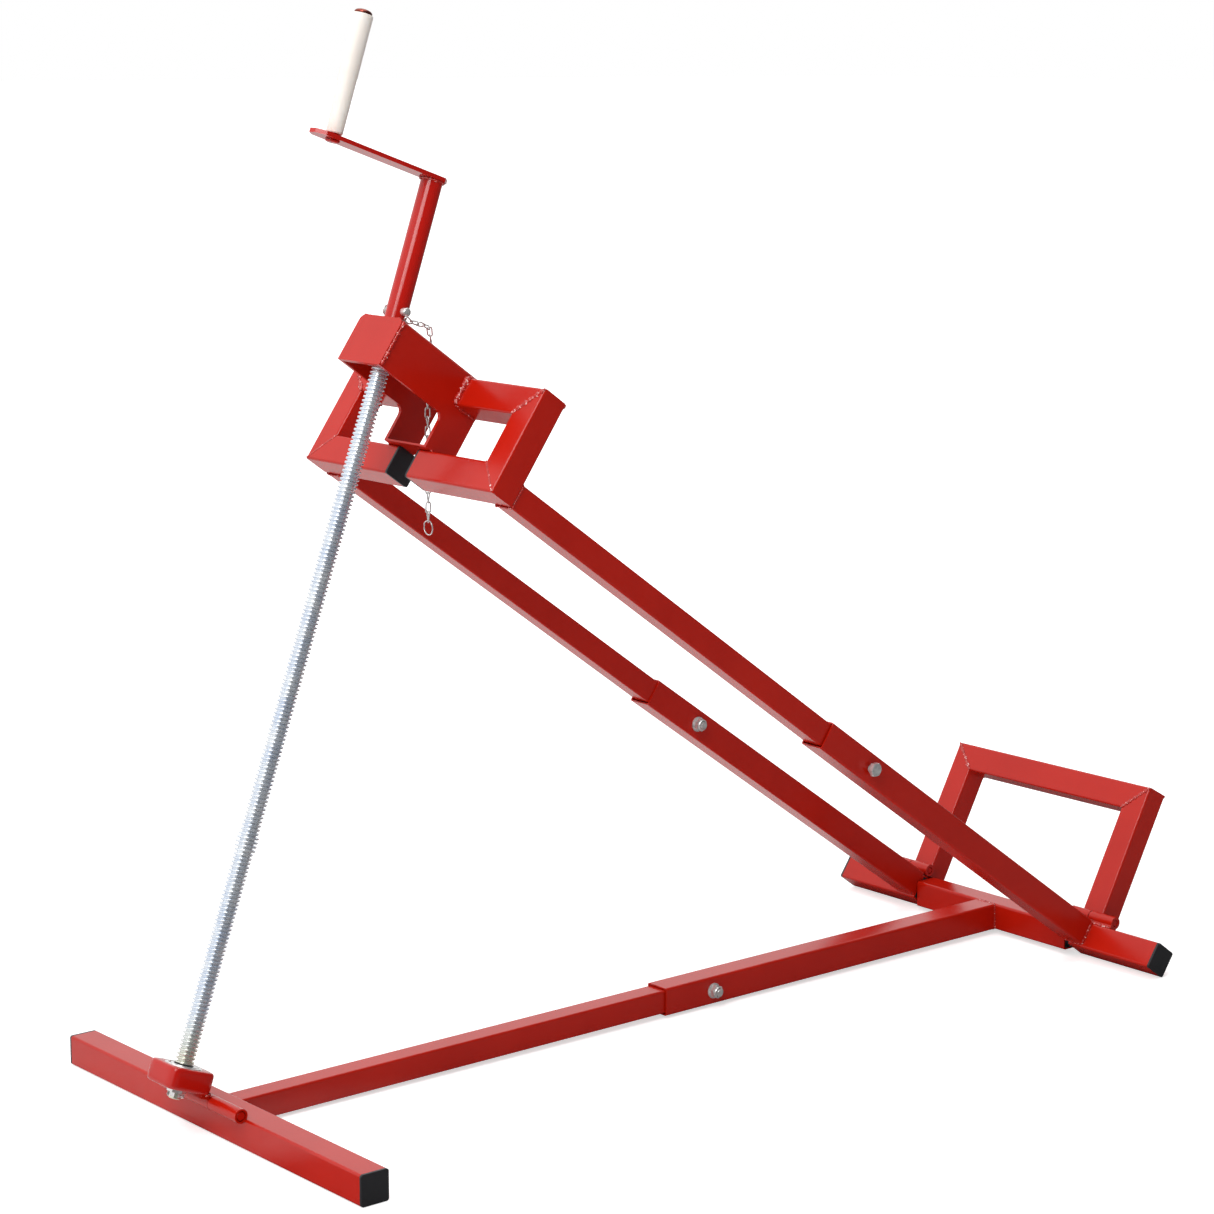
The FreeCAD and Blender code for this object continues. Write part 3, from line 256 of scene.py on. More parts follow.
SLOT_MATERIAL = {
    "red_paint": red,
    "zinc_screw": zinc,
    "bright_steel": steel,
    "black_plastic": plastic,
    "cream_plastic": cream,
}
for entry in frame["record"]["subparts"]:
    item = frame["nodes"][entry["node"]]
    item.data.materials.clear()
    item.data.materials.append(SLOT_MATERIAL[entry["material_slot"]])
for name in ("crank_tube", "crank_arm"):
    frame["nodes"][name].data.materials[0] = tube_red

# Screw: a blue tint in the plating, and yellow grease that thins out above its foot.
GREASE_FULL, GREASE_NONE = HINGE.z + 0.030, HINGE.z + 0.085
tint_noise = object_noise(zinc, 70.0, 3.0, 0.6)
tint = tone_ramp(zinc, (0.72, 0.79, 0.90), (0.92, 0.95, 0.98), 0.35, 0.65)
height = node(zinc, "ShaderNodeSeparateXYZ")
grease = node(zinc, "ShaderNodeMapRange", From_Min=GREASE_NONE, From_Max=GREASE_FULL)
greased = color_mix(zinc, second=(0.76, 0.76, 0.62))
link(zinc, node(zinc, "ShaderNodeTexCoord"), "Object", height, "Vector")
link(zinc, height, "Z", grease, "Value")
link(zinc, grease, "Result", greased, MIX_FACTOR)
link(zinc, tint_noise, "Fac", tint, "Fac")
link(zinc, tint, "Color", greased, MIX_FIRST)
link(zinc, greased, MIX_RESULT, shader_of(zinc), "Base Color")

# ---------------------------------------------------------------- mesh helpers


def new_piece(name, vertices, faces, material, body, slot, matrix=None):
    mesh = bpy.data.meshes.new(name)
    mesh.from_pydata([tuple(v) for v in vertices], [], faces)
    if matrix is not None:
        mesh.transform(matrix)
    mesh.update()
    mesh.materials.append(material)
    piece = bpy.data.objects.new(name, mesh)
    bpy.context.scene.collection.objects.link(piece)
    for polygon in mesh.polygons:
        polygon.use_smooth = True
    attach(piece, body)
    return piece


def sharpen(piece, degrees=35.0):
    """Shade smooth except across edges that are steeper than an angle."""
    piece.data.set_sharp_from_angle(angle=math.radians(degrees))


def revolve(profile, steps, closed=False, shape=None):
    """Turn (radius, height) points around Z. shape scales the radius by angle and index."""
    vertices, faces = [], []
    count = len(profile)
    for step in range(steps):
        angle = 2 * math.pi * step / steps
        for index, (radius, height) in enumerate(profile):
            r = radius if shape is None else shape(radius, angle, index)
            vertices.append((r * math.cos(angle), r * math.sin(angle), height))
    spans = count if closed else count - 1
    for step in range(steps):
        following = (step + 1) % steps
        for index in range(spans):
            after = (index + 1) % count
            faces.append(
                (
                    step * count + index,
                    following * count + index,
                    following * count + after,
                    step * count + after,
                )
            )
    if not closed:
        faces.append(tuple(reversed([step * count for step in range(steps)])))
        faces.append(tuple(step * count + count - 1 for step in range(steps)))
    return vertices, faces


def turned(points, steps=40, closed=False):
    """Turn (radius, height) points, given in millimetres, around Z."""
    return revolve([(radius * MM, height * MM) for radius, height in points], steps, closed)


def sweep(path, section, closed=False):
    """Carry a closed section, given as (side, up) pairs for each path point, along a path."""
    vertices, faces = [], []
    count = len(path)
    sides = len(section(0))
    for index, (point, side, up) in enumerate(path):
        for across, above in section(index):
            vertices.append(point + side * across + up * above)
    spans = count if closed else count - 1
    for index in range(spans):
        following = (index + 1) % count
        for corner in range(sides):
            after = (corner + 1) % sides
            faces.append(
                (
                    index * sides + corner,
                    index * sides + after,
                    following * sides + after,
                    following * sides + corner,
                )
            )
    if not closed:
        faces.append(tuple(reversed(range(sides))))
        faces.append(tuple((count - 1) * sides + corner for corner in range(sides)))
    return vertices, faces


def wire_path(points, radius, sides=10, closed=False):
    """A round wire through points in metres, as vertices and faces."""
    count = len(points)
    path = []
    up = None
    for index, point in enumerate(points):
        before = points[(index - 1) % count] if closed or index else points[0]
        after = points[(index + 1) % count] if closed or index < count - 1 else points[-1]
        along = (after - before).normalized()
        if up is None:
            up = along.orthogonal().normalized()
        up = (up - along * up.dot(along)).normalized()
        path.append((point, along.cross(up), up))
    ring = []
    for step in range(sides):
        angle = 2 * math.pi * step / sides
        ring.append((math.cos(angle) * radius, math.sin(angle) * radius))
    return sweep(path, lambda index: ring, closed)


def join(parts):
    """Merge several vertex and face lists into one."""
    vertices, faces = [], []
    for some_vertices, some_faces in parts:
        shift = len(vertices)
        vertices.extend(some_vertices)
        faces.extend([tuple(i + shift for i in face) for face in some_faces])
    return vertices, faces


def moved(part, matrix):
    return [matrix @ Vector(v) for v in part[0]], part[1]


# ---------------------------------------------------------------- weld beads

BEAD_STATION = 0.6  # spacing of a bead's sections, in millimetres
BEAD_RIPPLE = 2.4  # spacing of its ripples
BEAD_SIDES = 10
BEAD_BELOW = 0.5  # how much of its height is repeated below its middle


def bead(points, out, width, height, rough, seed):
    """A stacked weld bead along a polyline; out points away from the joint."""
    generator = random.Random(seed)
    out = out.normalized()
    stations = []
    for start, end in zip(points, points[1:]):
        along = (end - start).normalized()
        steps = max(2, int((end - start).length / (BEAD_STATION * MM)))
        for step in range(steps):
            stations.append((start.lerp(end, step / steps), along))
    stations.append((points[-1], (points[-1] - points[-2]).normalized()))
    travelled = 0.0
    path, scales = [], []
    coin = 1.0
    previous = stations[0][0]
    ripples_before = 0
    for index, (point, along) in enumerate(stations):
        travelled += (point - previous).length / MM
        previous = point
        phase = travelled / BEAD_RIPPLE
        if int(phase) != ripples_before:
            ripples_before = int(phase)
            coin = 1.0 + generator.uniform(-rough, rough)
        swell = 0.74 + 0.30 * math.sin(math.pi * (phase % 1.0)) ** 0.6
        end_fade = min(1.0, (index + 1) / 4, (len(stations) - index) / 4)
        scales.append(coin * swell * (0.35 + 0.65 * end_fade) * MM)
        side = along.cross(out).normalized()
        wander = generator.uniform(-0.12, 0.12) * MM
        path.append((point + side * wander, side, out))

    def section(index):
        ring = []
        for step in range(BEAD_SIDES):
            angle = 2 * math.pi * step / BEAD_SIDES
            above = math.sin(angle)
            above = above if above > 0 else above * BEAD_BELOW
            across = math.cos(angle) * width / 2
            ring.append((across * scales[index], above * height * scales[index]))
        return ring

    return sweep(path, section)


def seam(points, out, width, height, rough=0.25):
    """What one bead needs. The width and height are in millimetres."""
    return {"points": points, "out": out, "width": width, "height": height, "rough": rough}


def welds(name, body, seams):
    beads = [bead(seed=index + len(name), **entry) for index, entry in enumerate(seams)]
    return new_piece(name, *join(beads), weld_red, body, "red_paint")


def fillet_loop(centre, one, two, half_one, half_two, out, width, height):
    """Seams around the four sides of a tube that butts against a face, from half sides in mm."""
    one_reach, two_reach = one * half_one * MM, two * half_two * MM
    corners = [
        centre + one_reach + two_reach,
        centre - one_reach + two_reach,
        centre - one_reach - two_reach,
        centre + one_reach - two_reach,
    ]
    corners.append(corners[0])
    return [
        seam([start, end], (out + side).normalized(), width, height)
        for start, end, side in zip(corners, corners[1:], (two, -one, -two, one))
    ]


def lift_seams(rows, side):
    """Seams on one side of the lift, from rows that are mirrored for the other side."""
    seams = []
    for points, (along, outward, up), *size in rows:
        path = [lift(run, side * across, height) for run, across, height in points]
        seams.append(seam(path, ARM * along + Y * side * outward + NORMAL * up, *size))
    return seams


# Each row: points as run, across and height; direction out of the joint; width, height, rough.
HEAD_SEAMS = (
    # the front plate's edges
    (((1124.6, 33.4, 55), (1124.6, 33.4, 80), (1124.6, 33.4, 102)), (1, 1.2, 0), 3.6, 1.2, 0.45),
    # where the forks meet the channel's cheeks: front, top and the two inner corners
    (((1031, 34, 69), (1031, 34, 99.5)), (1, 1, 0), 6.0, 2.2, 0.5),
    (((1030, 34, 99.6), (1001, 34, 99.6)), (0, 1, 1), 4.0, 1.6),
    (((1030, 33.8, 68.5), (1001, 33.8, 68.5)), (0, 1, -1), 3.2, 1.4),
    (((1030, 33.8, 18.5), (1001, 33.8, 18.5)), (0, 1, 1), 3.2, 1.4),
    # half of the front plate's top edge
    (((1126, 30, 104.4), (1123.4, 4, 104.4)), (0, 0, 1), 2.6, 0.5),
    # mitres of the fork: front upper, front lower and rear upper
    (((1030.1, 119.5, 69), (1030.1, 149, 98.5)), (1, 0, 0), 4.2, 0.9, 0.5),
    (((1030.05, 119.5, 18), (1030.05, 149, -11.5)), (1, 0, 0), 2.0, 0.25),
    (((999.9, 119.5, 69), (999.9, 149, 98.5)), (-1, 0, 0), 4.0, 0.9),
)
STUB_SEAMS = (
    (((13, 142, 15.6), (13, 174, 15.6)), (1, 0, 1), 4.0, 1.8),
    (((2, 142, 15.6), (2, 174, 15.6)), (-1, 0, 1), 3.0, 1.4),
)
# Across position, half width and bead width at each arm's foot. These beads stop short of the
# rear cross sleeve, past which the arms swing.
ARM_FEET = {-1: (-136.9, 13.3, 3.4), 1: (126.1, 14.2, 1.2)}

seams = []
for side in (-1, 1):
    seams += lift_seams(HEAD_SEAMS, side)
    fork_end = lift(999.6, side * 136, 0)
    seams += fillet_loop(fork_end, Y, NORMAL, 12.3, 12.3, -ARM, 3.2, 1.4)
    foot_across, foot_half, thick = ARM_FEET[side]
    arm_foot = lift(15.8, foot_across, 3)
    seams += fillet_loop(arm_foot, Y, NORMAL, foot_half, 14.2, ARM, thick, thick / 2)
    seams += lift_seams(STUB_SEAMS, side)
welds("lift_welds", "lift", seams)

# The base tube's two ends, and the barrels that lie along the foot tube.
foot_face = Vector((15.4, 0, 15.2)) * MM
seams = fillet_loop(base(1042.6, 0, 0), Y, BASE_UP, 14.2, 14.2, -BASE_BACK, 3.4, 1.5)
seams += fillet_loop(foot_face, Y, Z, 12.2, 12.2, X, 3.2, 1.4)
for side in (-1, 1):
    for from_hinge, out in (
        (Vector((6.072, 0, -2.112)), Z + X),
        (Vector((2.112, 0, -6.072)), -X - Z),
    ):
        ends = [HINGE + (from_hinge + Y * side * across) * MM for across in (22, 65)]
        seams.append(seam(ends, out, 3.4, 1.3, 0.4))
welds("base_welds", "base", seams)

seams = []
for side in (1, -1):
    ends = [spindle(19, side * 19.5, 6.2), spindle(25, side * 19.5, 6.4)]
    seams.append(seam(ends, Y * side - SPINDLE_UP, 4.5, 1.8))
ends = [spindle(24.9, -19, 7.4), spindle(24.9, 19, 7.4)]
seams.append(seam(ends, SPINDLE_BACK + SPINDLE_UP, 4.0, 1.6))
welds("block_welds", "block", seams)

# The hoop's upper mitres, front and rear, and its knuckles, above and below.
seams = []
for side in (-1, 1):
    for back, out in ((7.4, -HOOP_BACK), (37.6, HOOP_BACK)):
        ends = [hoop(back, side * 118, 131), hoop(back, side * 147.6, 160.6)]
        seams.append(seam(ends, out, 3.6, 0.8, 0.45))
    for up, out in ((-5.2, -HOOP_BACK - HOOP_UP), (6.2, HOOP_UP - HOOP_BACK)):
        ends = [hoop(7.0, side * 119, up), hoop(7.0, side * 139.5, up)]
        seams.append(seam(ends, out, 3.4, 1.6))
welds("hoop_welds", "hoop", seams)

ring = []
for step in range(25):
    angle = 2 * math.pi * step / 24
    ring.append(crank(10.9 * math.cos(angle), 10.9 * math.sin(angle), 887.0))
welds("crank_welds", "crank", [seam(ring, -CRANK_UP, 3.0, 1.6, 0.4)])

# ---------------------------------------------------------------- threaded spindle

PITCH = 4.0
TURN_STEPS = 28
THREAD_LOW, THREAD_HIGH = 29.0, 750.0
CREST = 8.0  # the thread is wider than this only along its crest
# The crest is pinched outwards on two sides, which stops the nut.
STOP_LOW, STOP_HIGH = 233.0, 249.0
STOP_BULGE, STOP_TURN = 1.4, 0.7
# One turn of the thread: height above its start, and radius.
THREAD_FORM = (
    (0.0, 6.9), (1.05, 6.9), (1.75, 8.9), (2.0, 9.0), (3.0, 9.0), (3.25, 8.9), (3.95, 6.95),
)


def thread():
    rows = int((THREAD_HIGH - THREAD_LOW) / PITCH * TURN_STEPS) + TURN_STEPS
    count = len(THREAD_FORM)
    vertices, faces = [], []
    for row in range(rows):
        angle = 2 * math.pi * row / TURN_STEPS
        start = THREAD_LOW - PITCH + PITCH * row / TURN_STEPS
        for offset, radius in THREAD_FORM:
            height = min(max(start + offset, THREAD_LOW), THREAD_HIGH)
            if STOP_LOW <= start + offset <= STOP_HIGH and radius > CREST:
                radius += STOP_BULGE * math.sin(angle - STOP_TURN) ** 2
            x, y = radius * math.cos(angle), radius * math.sin(angle)
            vertices.append((x * MM, y * MM, height * MM))
    for row in range(rows - 1):
        first = row * count
        for corner in range(first, first + count - 1):
            faces.append((corner, corner + count, corner + count + 1, corner + 1))
        if row + 1 + TURN_STEPS < rows:
            last = first + count - 1
            above = first + TURN_STEPS * count
            faces.append((last, last + count, above + count, above))
    return vertices, faces


journal = turned(
    (
        (0.5, -4.6), (5.4, -4.6), (6.0, -3.9), (6.0, 29.2), (8.2, 29.3), (8.2, 29.6), (0.5, 30.0),
    )
)
plain_end = turned(((0.5, 748.0), (7.75, 748.5), (7.75, 790.0), (7.0, 795.0), (0.5, 795.0)))
screw_parts = join([thread(), journal, plain_end])
screw = new_piece("spindle_thread", *screw_parts, zinc, "crank", "zinc_screw", SPINDLE)
sharpen(screw, 40)
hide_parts("spindle")

# Thrust bearing: two shiny races with a dark seal between them and the spindle.
races = turned(
    (
        (9.5, 24.6), (9.5, 27.2), (10.2, 27.9), (12.6, 27.9), (13.0, 26.4), (14.6, 26.4),
        (15.0, 27.7), (17.4, 27.7), (17.95, 27.0), (17.95, 10.6), (6.1, 10.6), (6.1, 24.6),
    ),
    56,
    closed=True,
)
bearing = new_piece("bearing_races", *races, steel, "block", "zinc_screw", SPINDLE)
sharpen(bearing)
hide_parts("thrust_bearing")
seal_part = turned(((6.4, 24.7), (6.4, 28.2), (9.2, 28.4), (9.4, 24.7)), 48, closed=True)
seal = new_piece("bearing_seal", *seal_part, plastic, "block", "black_plastic", SPINDLE)
sharpen(seal)

# ---------------------------------------------------------------- fasteners

FLATS = 13.0
BOLT_HEAD = 5.3
SHANK = 3.95
THREAD_ROOT = 3.4
BOLT_PITCH = 1.25
BOLT_LENGTH = 41.2
NUT_BORE = 4.05
WASHER = 1.6
WASHER_EDGE = 8.3
WASHER_BORE = 4.1
HEXAGON_STEPS = 72
HEXAGON_CIRCLE = 0.48  # radius of the flat round face, over the width across flats
HEXAGON_CHAMFER = math.radians(30)


def hexagon_radius(angle, flats):
    sector = (angle + math.pi / 6) % (math.pi / 3) - math.pi / 6
    return flats / 2 / math.cos(sector)


def hexagon_part(flats, low, high, bore=0.0, chamfer_low=False):
    """A hexagon with turned chamfers, as vertices and faces, in millimetres."""
    circle = flats * HEXAGON_CIRCLE
    inner = bore if bore > 0 else 0.3
    vertices, faces = [], []
    for step in range(HEXAGON_STEPS):
        angle = 2 * math.pi * step / HEXAGON_STEPS
        outer = hexagon_radius(angle, flats)
        drop = max(0.0, (outer - circle) * math.tan(HEXAGON_CHAMFER))
        face_edge = min(circle, outer)
        outline = (
            (inner, low), (face_edge, low), (outer, low + drop if chamfer_low else low),
            (outer, high - drop), (face_edge, high), (inner, high),
        )
        for radius, height in outline:
            x, y = radius * math.cos(angle), radius * math.sin(angle)
            vertices.append((x * MM, y * MM, height * MM))
    rings = len(outline)
    for step in range(HEXAGON_STEPS):
        following = (step + 1) % HEXAGON_STEPS
        for index in range(rings if bore > 0 else rings - 1):
            after = (index + 1) % rings
            faces.append(
                (
                    step * rings + index,
                    following * rings + index,
                    following * rings + after,
                    step * rings + after,
                )
            )
    if bore <= 0:
        faces.append(tuple(reversed([step * rings for step in range(HEXAGON_STEPS)])))
        faces.append(tuple(step * rings + rings - 1 for step in range(HEXAGON_STEPS)))
    return vertices, faces


def bolt_part(length):
    """Head above zero, shank below, with a rolled end; the axis is Z."""
    outline = [(0.3, -length), (THREAD_ROOT - 0.1, -length)]
    height = 0.8 - length
    while height < -1.6:
        outline += [(THREAD_ROOT, height), (SHANK, height + 0.5), (SHANK, height + 0.7)]
        height += BOLT_PITCH
    outline += [(SHANK, height), (SHANK, 0.3), (0.3, 0.3)]
    return join([hexagon_part(FLATS, 0.0, BOLT_HEAD), turned(outline)])


def lock_nut_part():
    """A nut whose collar holds an insert; it stands on Z = 0."""
    body = hexagon_part(FLATS, 0.0, 6.2, bore=NUT_BORE, chamfer_low=True)
    collar = (
        (NUT_BORE, 5.4), (5.9, 5.8), (5.9, 7.2), (5.4, 7.9), (4.7, 8.0), (NUT_BORE, 7.5),
    )
    return join([body, turned(collar, 48, closed=True)])


def washer_part():
    rim = WASHER_EDGE - 0.2
    outline = (
        (WASHER_BORE, 0.0), (rim, 0.0), (WASHER_EDGE, 0.2), (WASHER_EDGE, WASHER - 0.2),
        (rim, WASHER), (WASHER_BORE, WASHER),
    )
    return turned(outline, 56, closed=True)


# The left arm's sleeve hangs a little off line, so its bolt does too.
BENT = Matrix.Rotation(math.radians(-0.97), 3, NORMAL) @ Y
# Centre, head direction, body, tube direction, head gap and turn of each bolted joint.
FASTENERS = (
    (base(609, 0, 0), Y, "base", BASE_BACK, 0.0, 12),
    (lift(436, -136, 0), -Y, "lift", ARM, 4.0, 5),
    (lift(436, 133.24, 0), BENT, "lift", ARM, 0.0, 34),
)
FASTENER_NODES = {
    "base": ("base_bolt", "base_nut", "base_washer"),
    "lift": ("arm_bolts", "arm_nuts", "arm_washers"),
}

parts = {"base": ([], [], []), "lift": ([], [], [])}
for centre, toward, body, along, gap, degrees in FASTENERS:
    turn = Matrix.Rotation(math.radians(degrees), 4, "Z")
    head = around(centre + toward * (HALF + gap * MM), toward, along) @ turn
    seat = around(centre - toward * HALF, -toward, along)
    nut = around(centre - toward * (HALF + WASHER * MM), -toward, along) @ turn
    bolts, nuts, washers = parts[body]
    bolts.append(moved(bolt_part(BOLT_LENGTH + gap), head))
    nuts.append(moved(lock_nut_part(), nut))
    washers.append(moved(washer_part(), seat))
for body, names in FASTENER_NODES.items():
    for pieces, old in zip(parts[body], names):
        piece = new_piece(old + "_detail", *join(pieces), steel, body, "bright_steel")
        sharpen(piece, 28)
        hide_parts(old)

# Castle nut: a hexagon with six fingers below it. Each finger's corners are given as radius
# and half width, and its low and high ends as heights.
CASTLE_BORE = 6.1
FINGER_CORNERS = ((CASTLE_BORE, 1.9), (8.0, 2.6))
FINGER_HEIGHTS = (-2.5, 1.7)
BOX_FACES = [(0, 1, 3, 2), (4, 6, 7, 5), (0, 4, 5, 1), (2, 3, 7, 6), (0, 2, 6, 4), (1, 5, 7, 3)]
castle = [hexagon_part(16, 1.5, 6.1, bore=CASTLE_BORE)]
for index in range(6):
    turn = Matrix.Rotation(math.radians(60 * index + 30), 4, "Z")
    corners = [
        turn @ Vector((radius * MM, across * MM, height * MM))
        for radius, half in FINGER_CORNERS
        for across in (-half, half)
        for height in FINGER_HEIGHTS
    ]
    castle.append((corners, BOX_FACES))
piece = new_piece("castle_nut_detail", *join(castle), steel, "crank", "bright_steel", SPINDLE)
sharpen(piece, 28)
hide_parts("castle_nut")

# Split pin: a loop at one end and two legs bent apart at the other.
cotter = []
for leg in (-1, 1):
    points = []
    for step in range(7):
        bow = math.sin(math.pi * step / 6)
        points.append(spindle(0, -12.6 + 3.4 * step / 6, -0.5 + leg * bow))
    points += [spindle(0, across, -0.5 + leg * 0.5) for across in (-6, 0, 6, 8.5)]
    points += [spindle(0, 10.5, -0.5 + leg * 2.0), spindle(0, 11.6, -0.5 + leg * 4.6)]
    cotter.append(wire_path(points, 0.62 * MM, 8))
piece = new_piece("cotter_pin_detail", *join(cotter), steel, "crank", "bright_steel")
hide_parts("cotter_pin")

# Hinge block: a forged block whose sides bulge a little, open at the top for its bearing.
# Each row of its profile: whether the size is an inset from the outline or a plain radius,
# the size, and the height.
BLOCK_HALF = (24.5, 23.5)
BLOCK_ROUND = 6.0
INSET, RADIUS = True, False
BLOCK_PROFILE = (
    (RADIUS, 6.6, 6.5), (INSET, 2.4, 6.5), (INSET, 1.0, 7.1), (INSET, 0.25, 8.6),
    (INSET, 0.0, 11.0), (INSET, 0.0, 22.5), (INSET, 0.25, 24.9), (INSET, 1.0, 26.4),
    (INSET, 2.4, 27.0), (RADIUS, 18.06, 27.0), (RADIUS, 18.06, 10.5), (RADIUS, 6.6, 10.5),
)


def block_radius(size, angle, index):
    """Distance of the block's surface from its axis at one angle."""
    if BLOCK_PROFILE[index][0] is RADIUS:
        return size
    back = abs(math.cos(angle)) / (BLOCK_HALF[0] * MM - size)
    across = abs(math.sin(angle)) / (BLOCK_HALF[1] * MM - size)
    return (back ** BLOCK_ROUND + across ** BLOCK_ROUND) ** (-1 / BLOCK_ROUND)


block_points = [(size * MM, height * MM) for _, size, height in BLOCK_PROFILE]
block_part = revolve(block_points, 120, True, block_radius)
piece = new_piece("hinge_block_detail", *block_part, tube_red, "block", "red_paint", SPINDLE)
sharpen(piece, 50)
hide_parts("hinge_block")

# Lock pin with a domed head, and the spring ring through its other end.
CLIP_RADIUS, CLIP_WIRE = 5.0, 0.85
pin_part = turned(
    (
        (0.2, -3.2), (2.0, -3.15), (3.4, -2.7), (4.3, -1.7), (4.5, -0.6), (4.3, 0.0), (4.0, 0.1),
        (4.0, 30.5), (3.3, 32.4), (1.8, 33.0), (0.2, 33.0),
    )
)
pin_frame = around(spindle(0, -14.15, PIN_HEIGHT), Y, SPINDLE_UP)
piece = new_piece("lock_pin_detail", *pin_part, steel, "crank", "bright_steel", pin_frame)
sharpen(piece, 40)
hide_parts("lock_pin")
points = []
for step in range(40):
    angle = 2 * math.pi * step / 40
    back, up = CLIP_RADIUS * math.cos(angle), CLIP_RADIUS * math.sin(angle)
    points.append(spindle(back, 15.0, PIN_HEIGHT + up))
clip_part = wire_path(points, CLIP_WIRE * MM, closed=True)
piece = new_piece("pin_clip_detail", *clip_part, steel, "crank", "bright_steel")
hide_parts("pin_clip")

# ---------------------------------------------------------------- grip

# The sleeve widens from its lower collar to its upper one, and stands clear of the arm.
GRIP_LOW = 6.0
outline = [(4.3, 0.3), (7.0, 0.0), (7.7, 0.5), (7.95, 1.6)]
outline += [(7.95 + 1.95 * step / 12, 1.6 + 109.0 * step / 12) for step in range(1, 12)]
outline += [(9.95, 111.2), (9.7, 112.4), (9.0, 113.0), (4.3, 113.0)]
grip_part = turned(outline, 64, closed=True)
grip_frame = GRIP @ Matrix.Translation((0, 0, GRIP_LOW * MM))
piece = new_piece(
    "grip_sleeve_detail", *grip_part, cream, "grip_sleeve", "cream_plastic", grip_frame
)
sharpen(piece, 50)
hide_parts("grip")
axle_part = turned(
    (
        (0.2, -2.3), (5.6, -2.3), (6.6, -1.7), (7.0, -0.9), (7.0, -0.35), (4.0, -0.3),
        (4.0, 120.0), (0.2, 120.0),
    ),
    48,
)
piece = new_piece("grip_axle_detail", *axle_part, tube_red, "crank", "red_paint", GRIP)
sharpen(piece, 40)
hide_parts("grip_axle")
rivet_part = turned(
    (
        (0.2, 119.4), (8.2, 119.4), (8.5, 120.0), (8.2, 121.2), (6.8, 122.5), (4.0, 123.4),
        (0.2, 123.7),
    ),
    48,
)
piece = new_piece("grip_rivet", *rivet_part, copper, "crank", "bright_steel", GRIP)
sharpen(piece, 50)

# ---------------------------------------------------------------- hinge pins

# Painted pins whose ends are turned down, which leaves a dark ring in each barrel. The
# profile is radius and distance from the end, for a pin of the radius given.
PIN_RADIUS = 5.0
PIN_END = ((0.2, 0.0), (3.9, 0.0), (4.35, 0.5), (4.4, 3.0), (4.95, 3.4))
FOOT_PIN_HALF = 66.0
HOOP_PIN_INNER = 112.3


def hinge_pin(start, end, radius):
    """A pin between two points whose ends are thinner than its middle."""
    length = (end - start).length / MM
    scale = radius / PIN_RADIUS
    first = [(size * scale, height) for size, height in PIN_END]
    last = [(size * scale, length - height) for size, height in reversed(PIN_END)]
    return moved(turned(first + last), around(start, end - start))


reach = Y * FOOT_PIN_HALF * MM
foot_pin = hinge_pin(HINGE - reach, HINGE + reach, 5.0)
piece = new_piece("foot_hinge_pin_detail", *foot_pin, tube_red, "base", "red_paint")
sharpen(piece, 40)
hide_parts("foot_hinge_pin")
hoop_pin_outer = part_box("hoop_pins")[1].y - 0.2 * MM
hoop_pins = []
for side in (-1, 1):
    inner = HOOP_PIVOT + Y * side * HOOP_PIN_INNER * MM
    outer = HOOP_PIVOT + Y * side * hoop_pin_outer
    hoop_pins.append(hinge_pin(inner, outer, 4.0))
piece = new_piece("hoop_pins_detail", *join(hoop_pins), tube_red, "lift", "red_paint")
sharpen(piece, 40)
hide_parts("hoop_pins")

# ---------------------------------------------------------------- chain and split ring

LINK_LENGTH, LINK_WIDTH, LINK_WIRE = 12.0, 6.0, 1.4
LINK_TWIST = 0.35
LINK_PITCH = LINK_LENGTH - 2 * LINK_WIRE - 0.05


def link_points(centre, along, across):
    """Points around the middle line of one oval link."""
    out = along.cross(across)
    radius = (LINK_WIDTH - LINK_WIRE) / 2
    straight = (LINK_LENGTH - LINK_WIRE) / 2 - radius
    points = []
    for end in (1, -1):
        for step in range(9):
            angle = math.pi * step / 8
            reach = (straight + radius * math.sin(angle)) * end
            side = radius * math.cos(angle) * end
            bend = LINK_TWIST * reach / (LINK_LENGTH / 2)
            offset = across * side * math.cos(bend) + out * side * math.sin(bend)
            points.append(centre + (along * reach + offset) * MM)
    return points


def chain_part(path, turn):
    """Links spaced evenly along a polyline, each turned a quarter from the last."""
    parts, travelled, target = [], 0.0, LINK_LENGTH / 2
    for start, end in zip(path, path[1:]):
        length = (end - start).length / MM
        along = (end - start).normalized()
        reference = Y if abs(along.y) < 0.8 else X
        flat = (reference - along * reference.dot(along)).normalized()
        while target <= travelled + length + 1e-6:
            centre = start + along * (target - travelled) * MM
            across = Matrix.Rotation(turn, 3, along) @ flat
            points = link_points(centre, along, across)
            parts.append(wire_path(points, LINK_WIRE / 2 * MM, 8, closed=True))
            turn += math.pi / 2
            target += LINK_PITCH
        travelled += length
    return join(parts)


low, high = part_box("hanging_chain")
hanging = chain_part([Vector((CHAIN_X, 0, high.z + MM)), Vector((CHAIN_X, 0, low.z))], 0.35)
piece = new_piece("hanging_chain_detail", *hanging, steel, "chain", "bright_steel")
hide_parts("hanging_chain")

# Two turns of wire side by side.
RING_RADIUS, RING_DRIFT, RING_WIRE = 6.9, 0.8, 0.42
RING_STEPS = 96
low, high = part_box("split_ring")
points = []
for step in range(RING_STEPS + 1):
    angle = 2 * math.pi * 2 * step / RING_STEPS + 0.4
    drift = (step / RING_STEPS - 0.5) * RING_DRIFT
    turn = Vector((drift, math.cos(angle) * RING_RADIUS, math.sin(angle) * RING_RADIUS))
    points.append((low + high) / 2 + turn * MM)
ring_part = wire_path(points, RING_WIRE * MM, 8)
piece = new_piece("split_ring_detail", *ring_part, steel, "chain", "bright_steel")
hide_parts("split_ring")

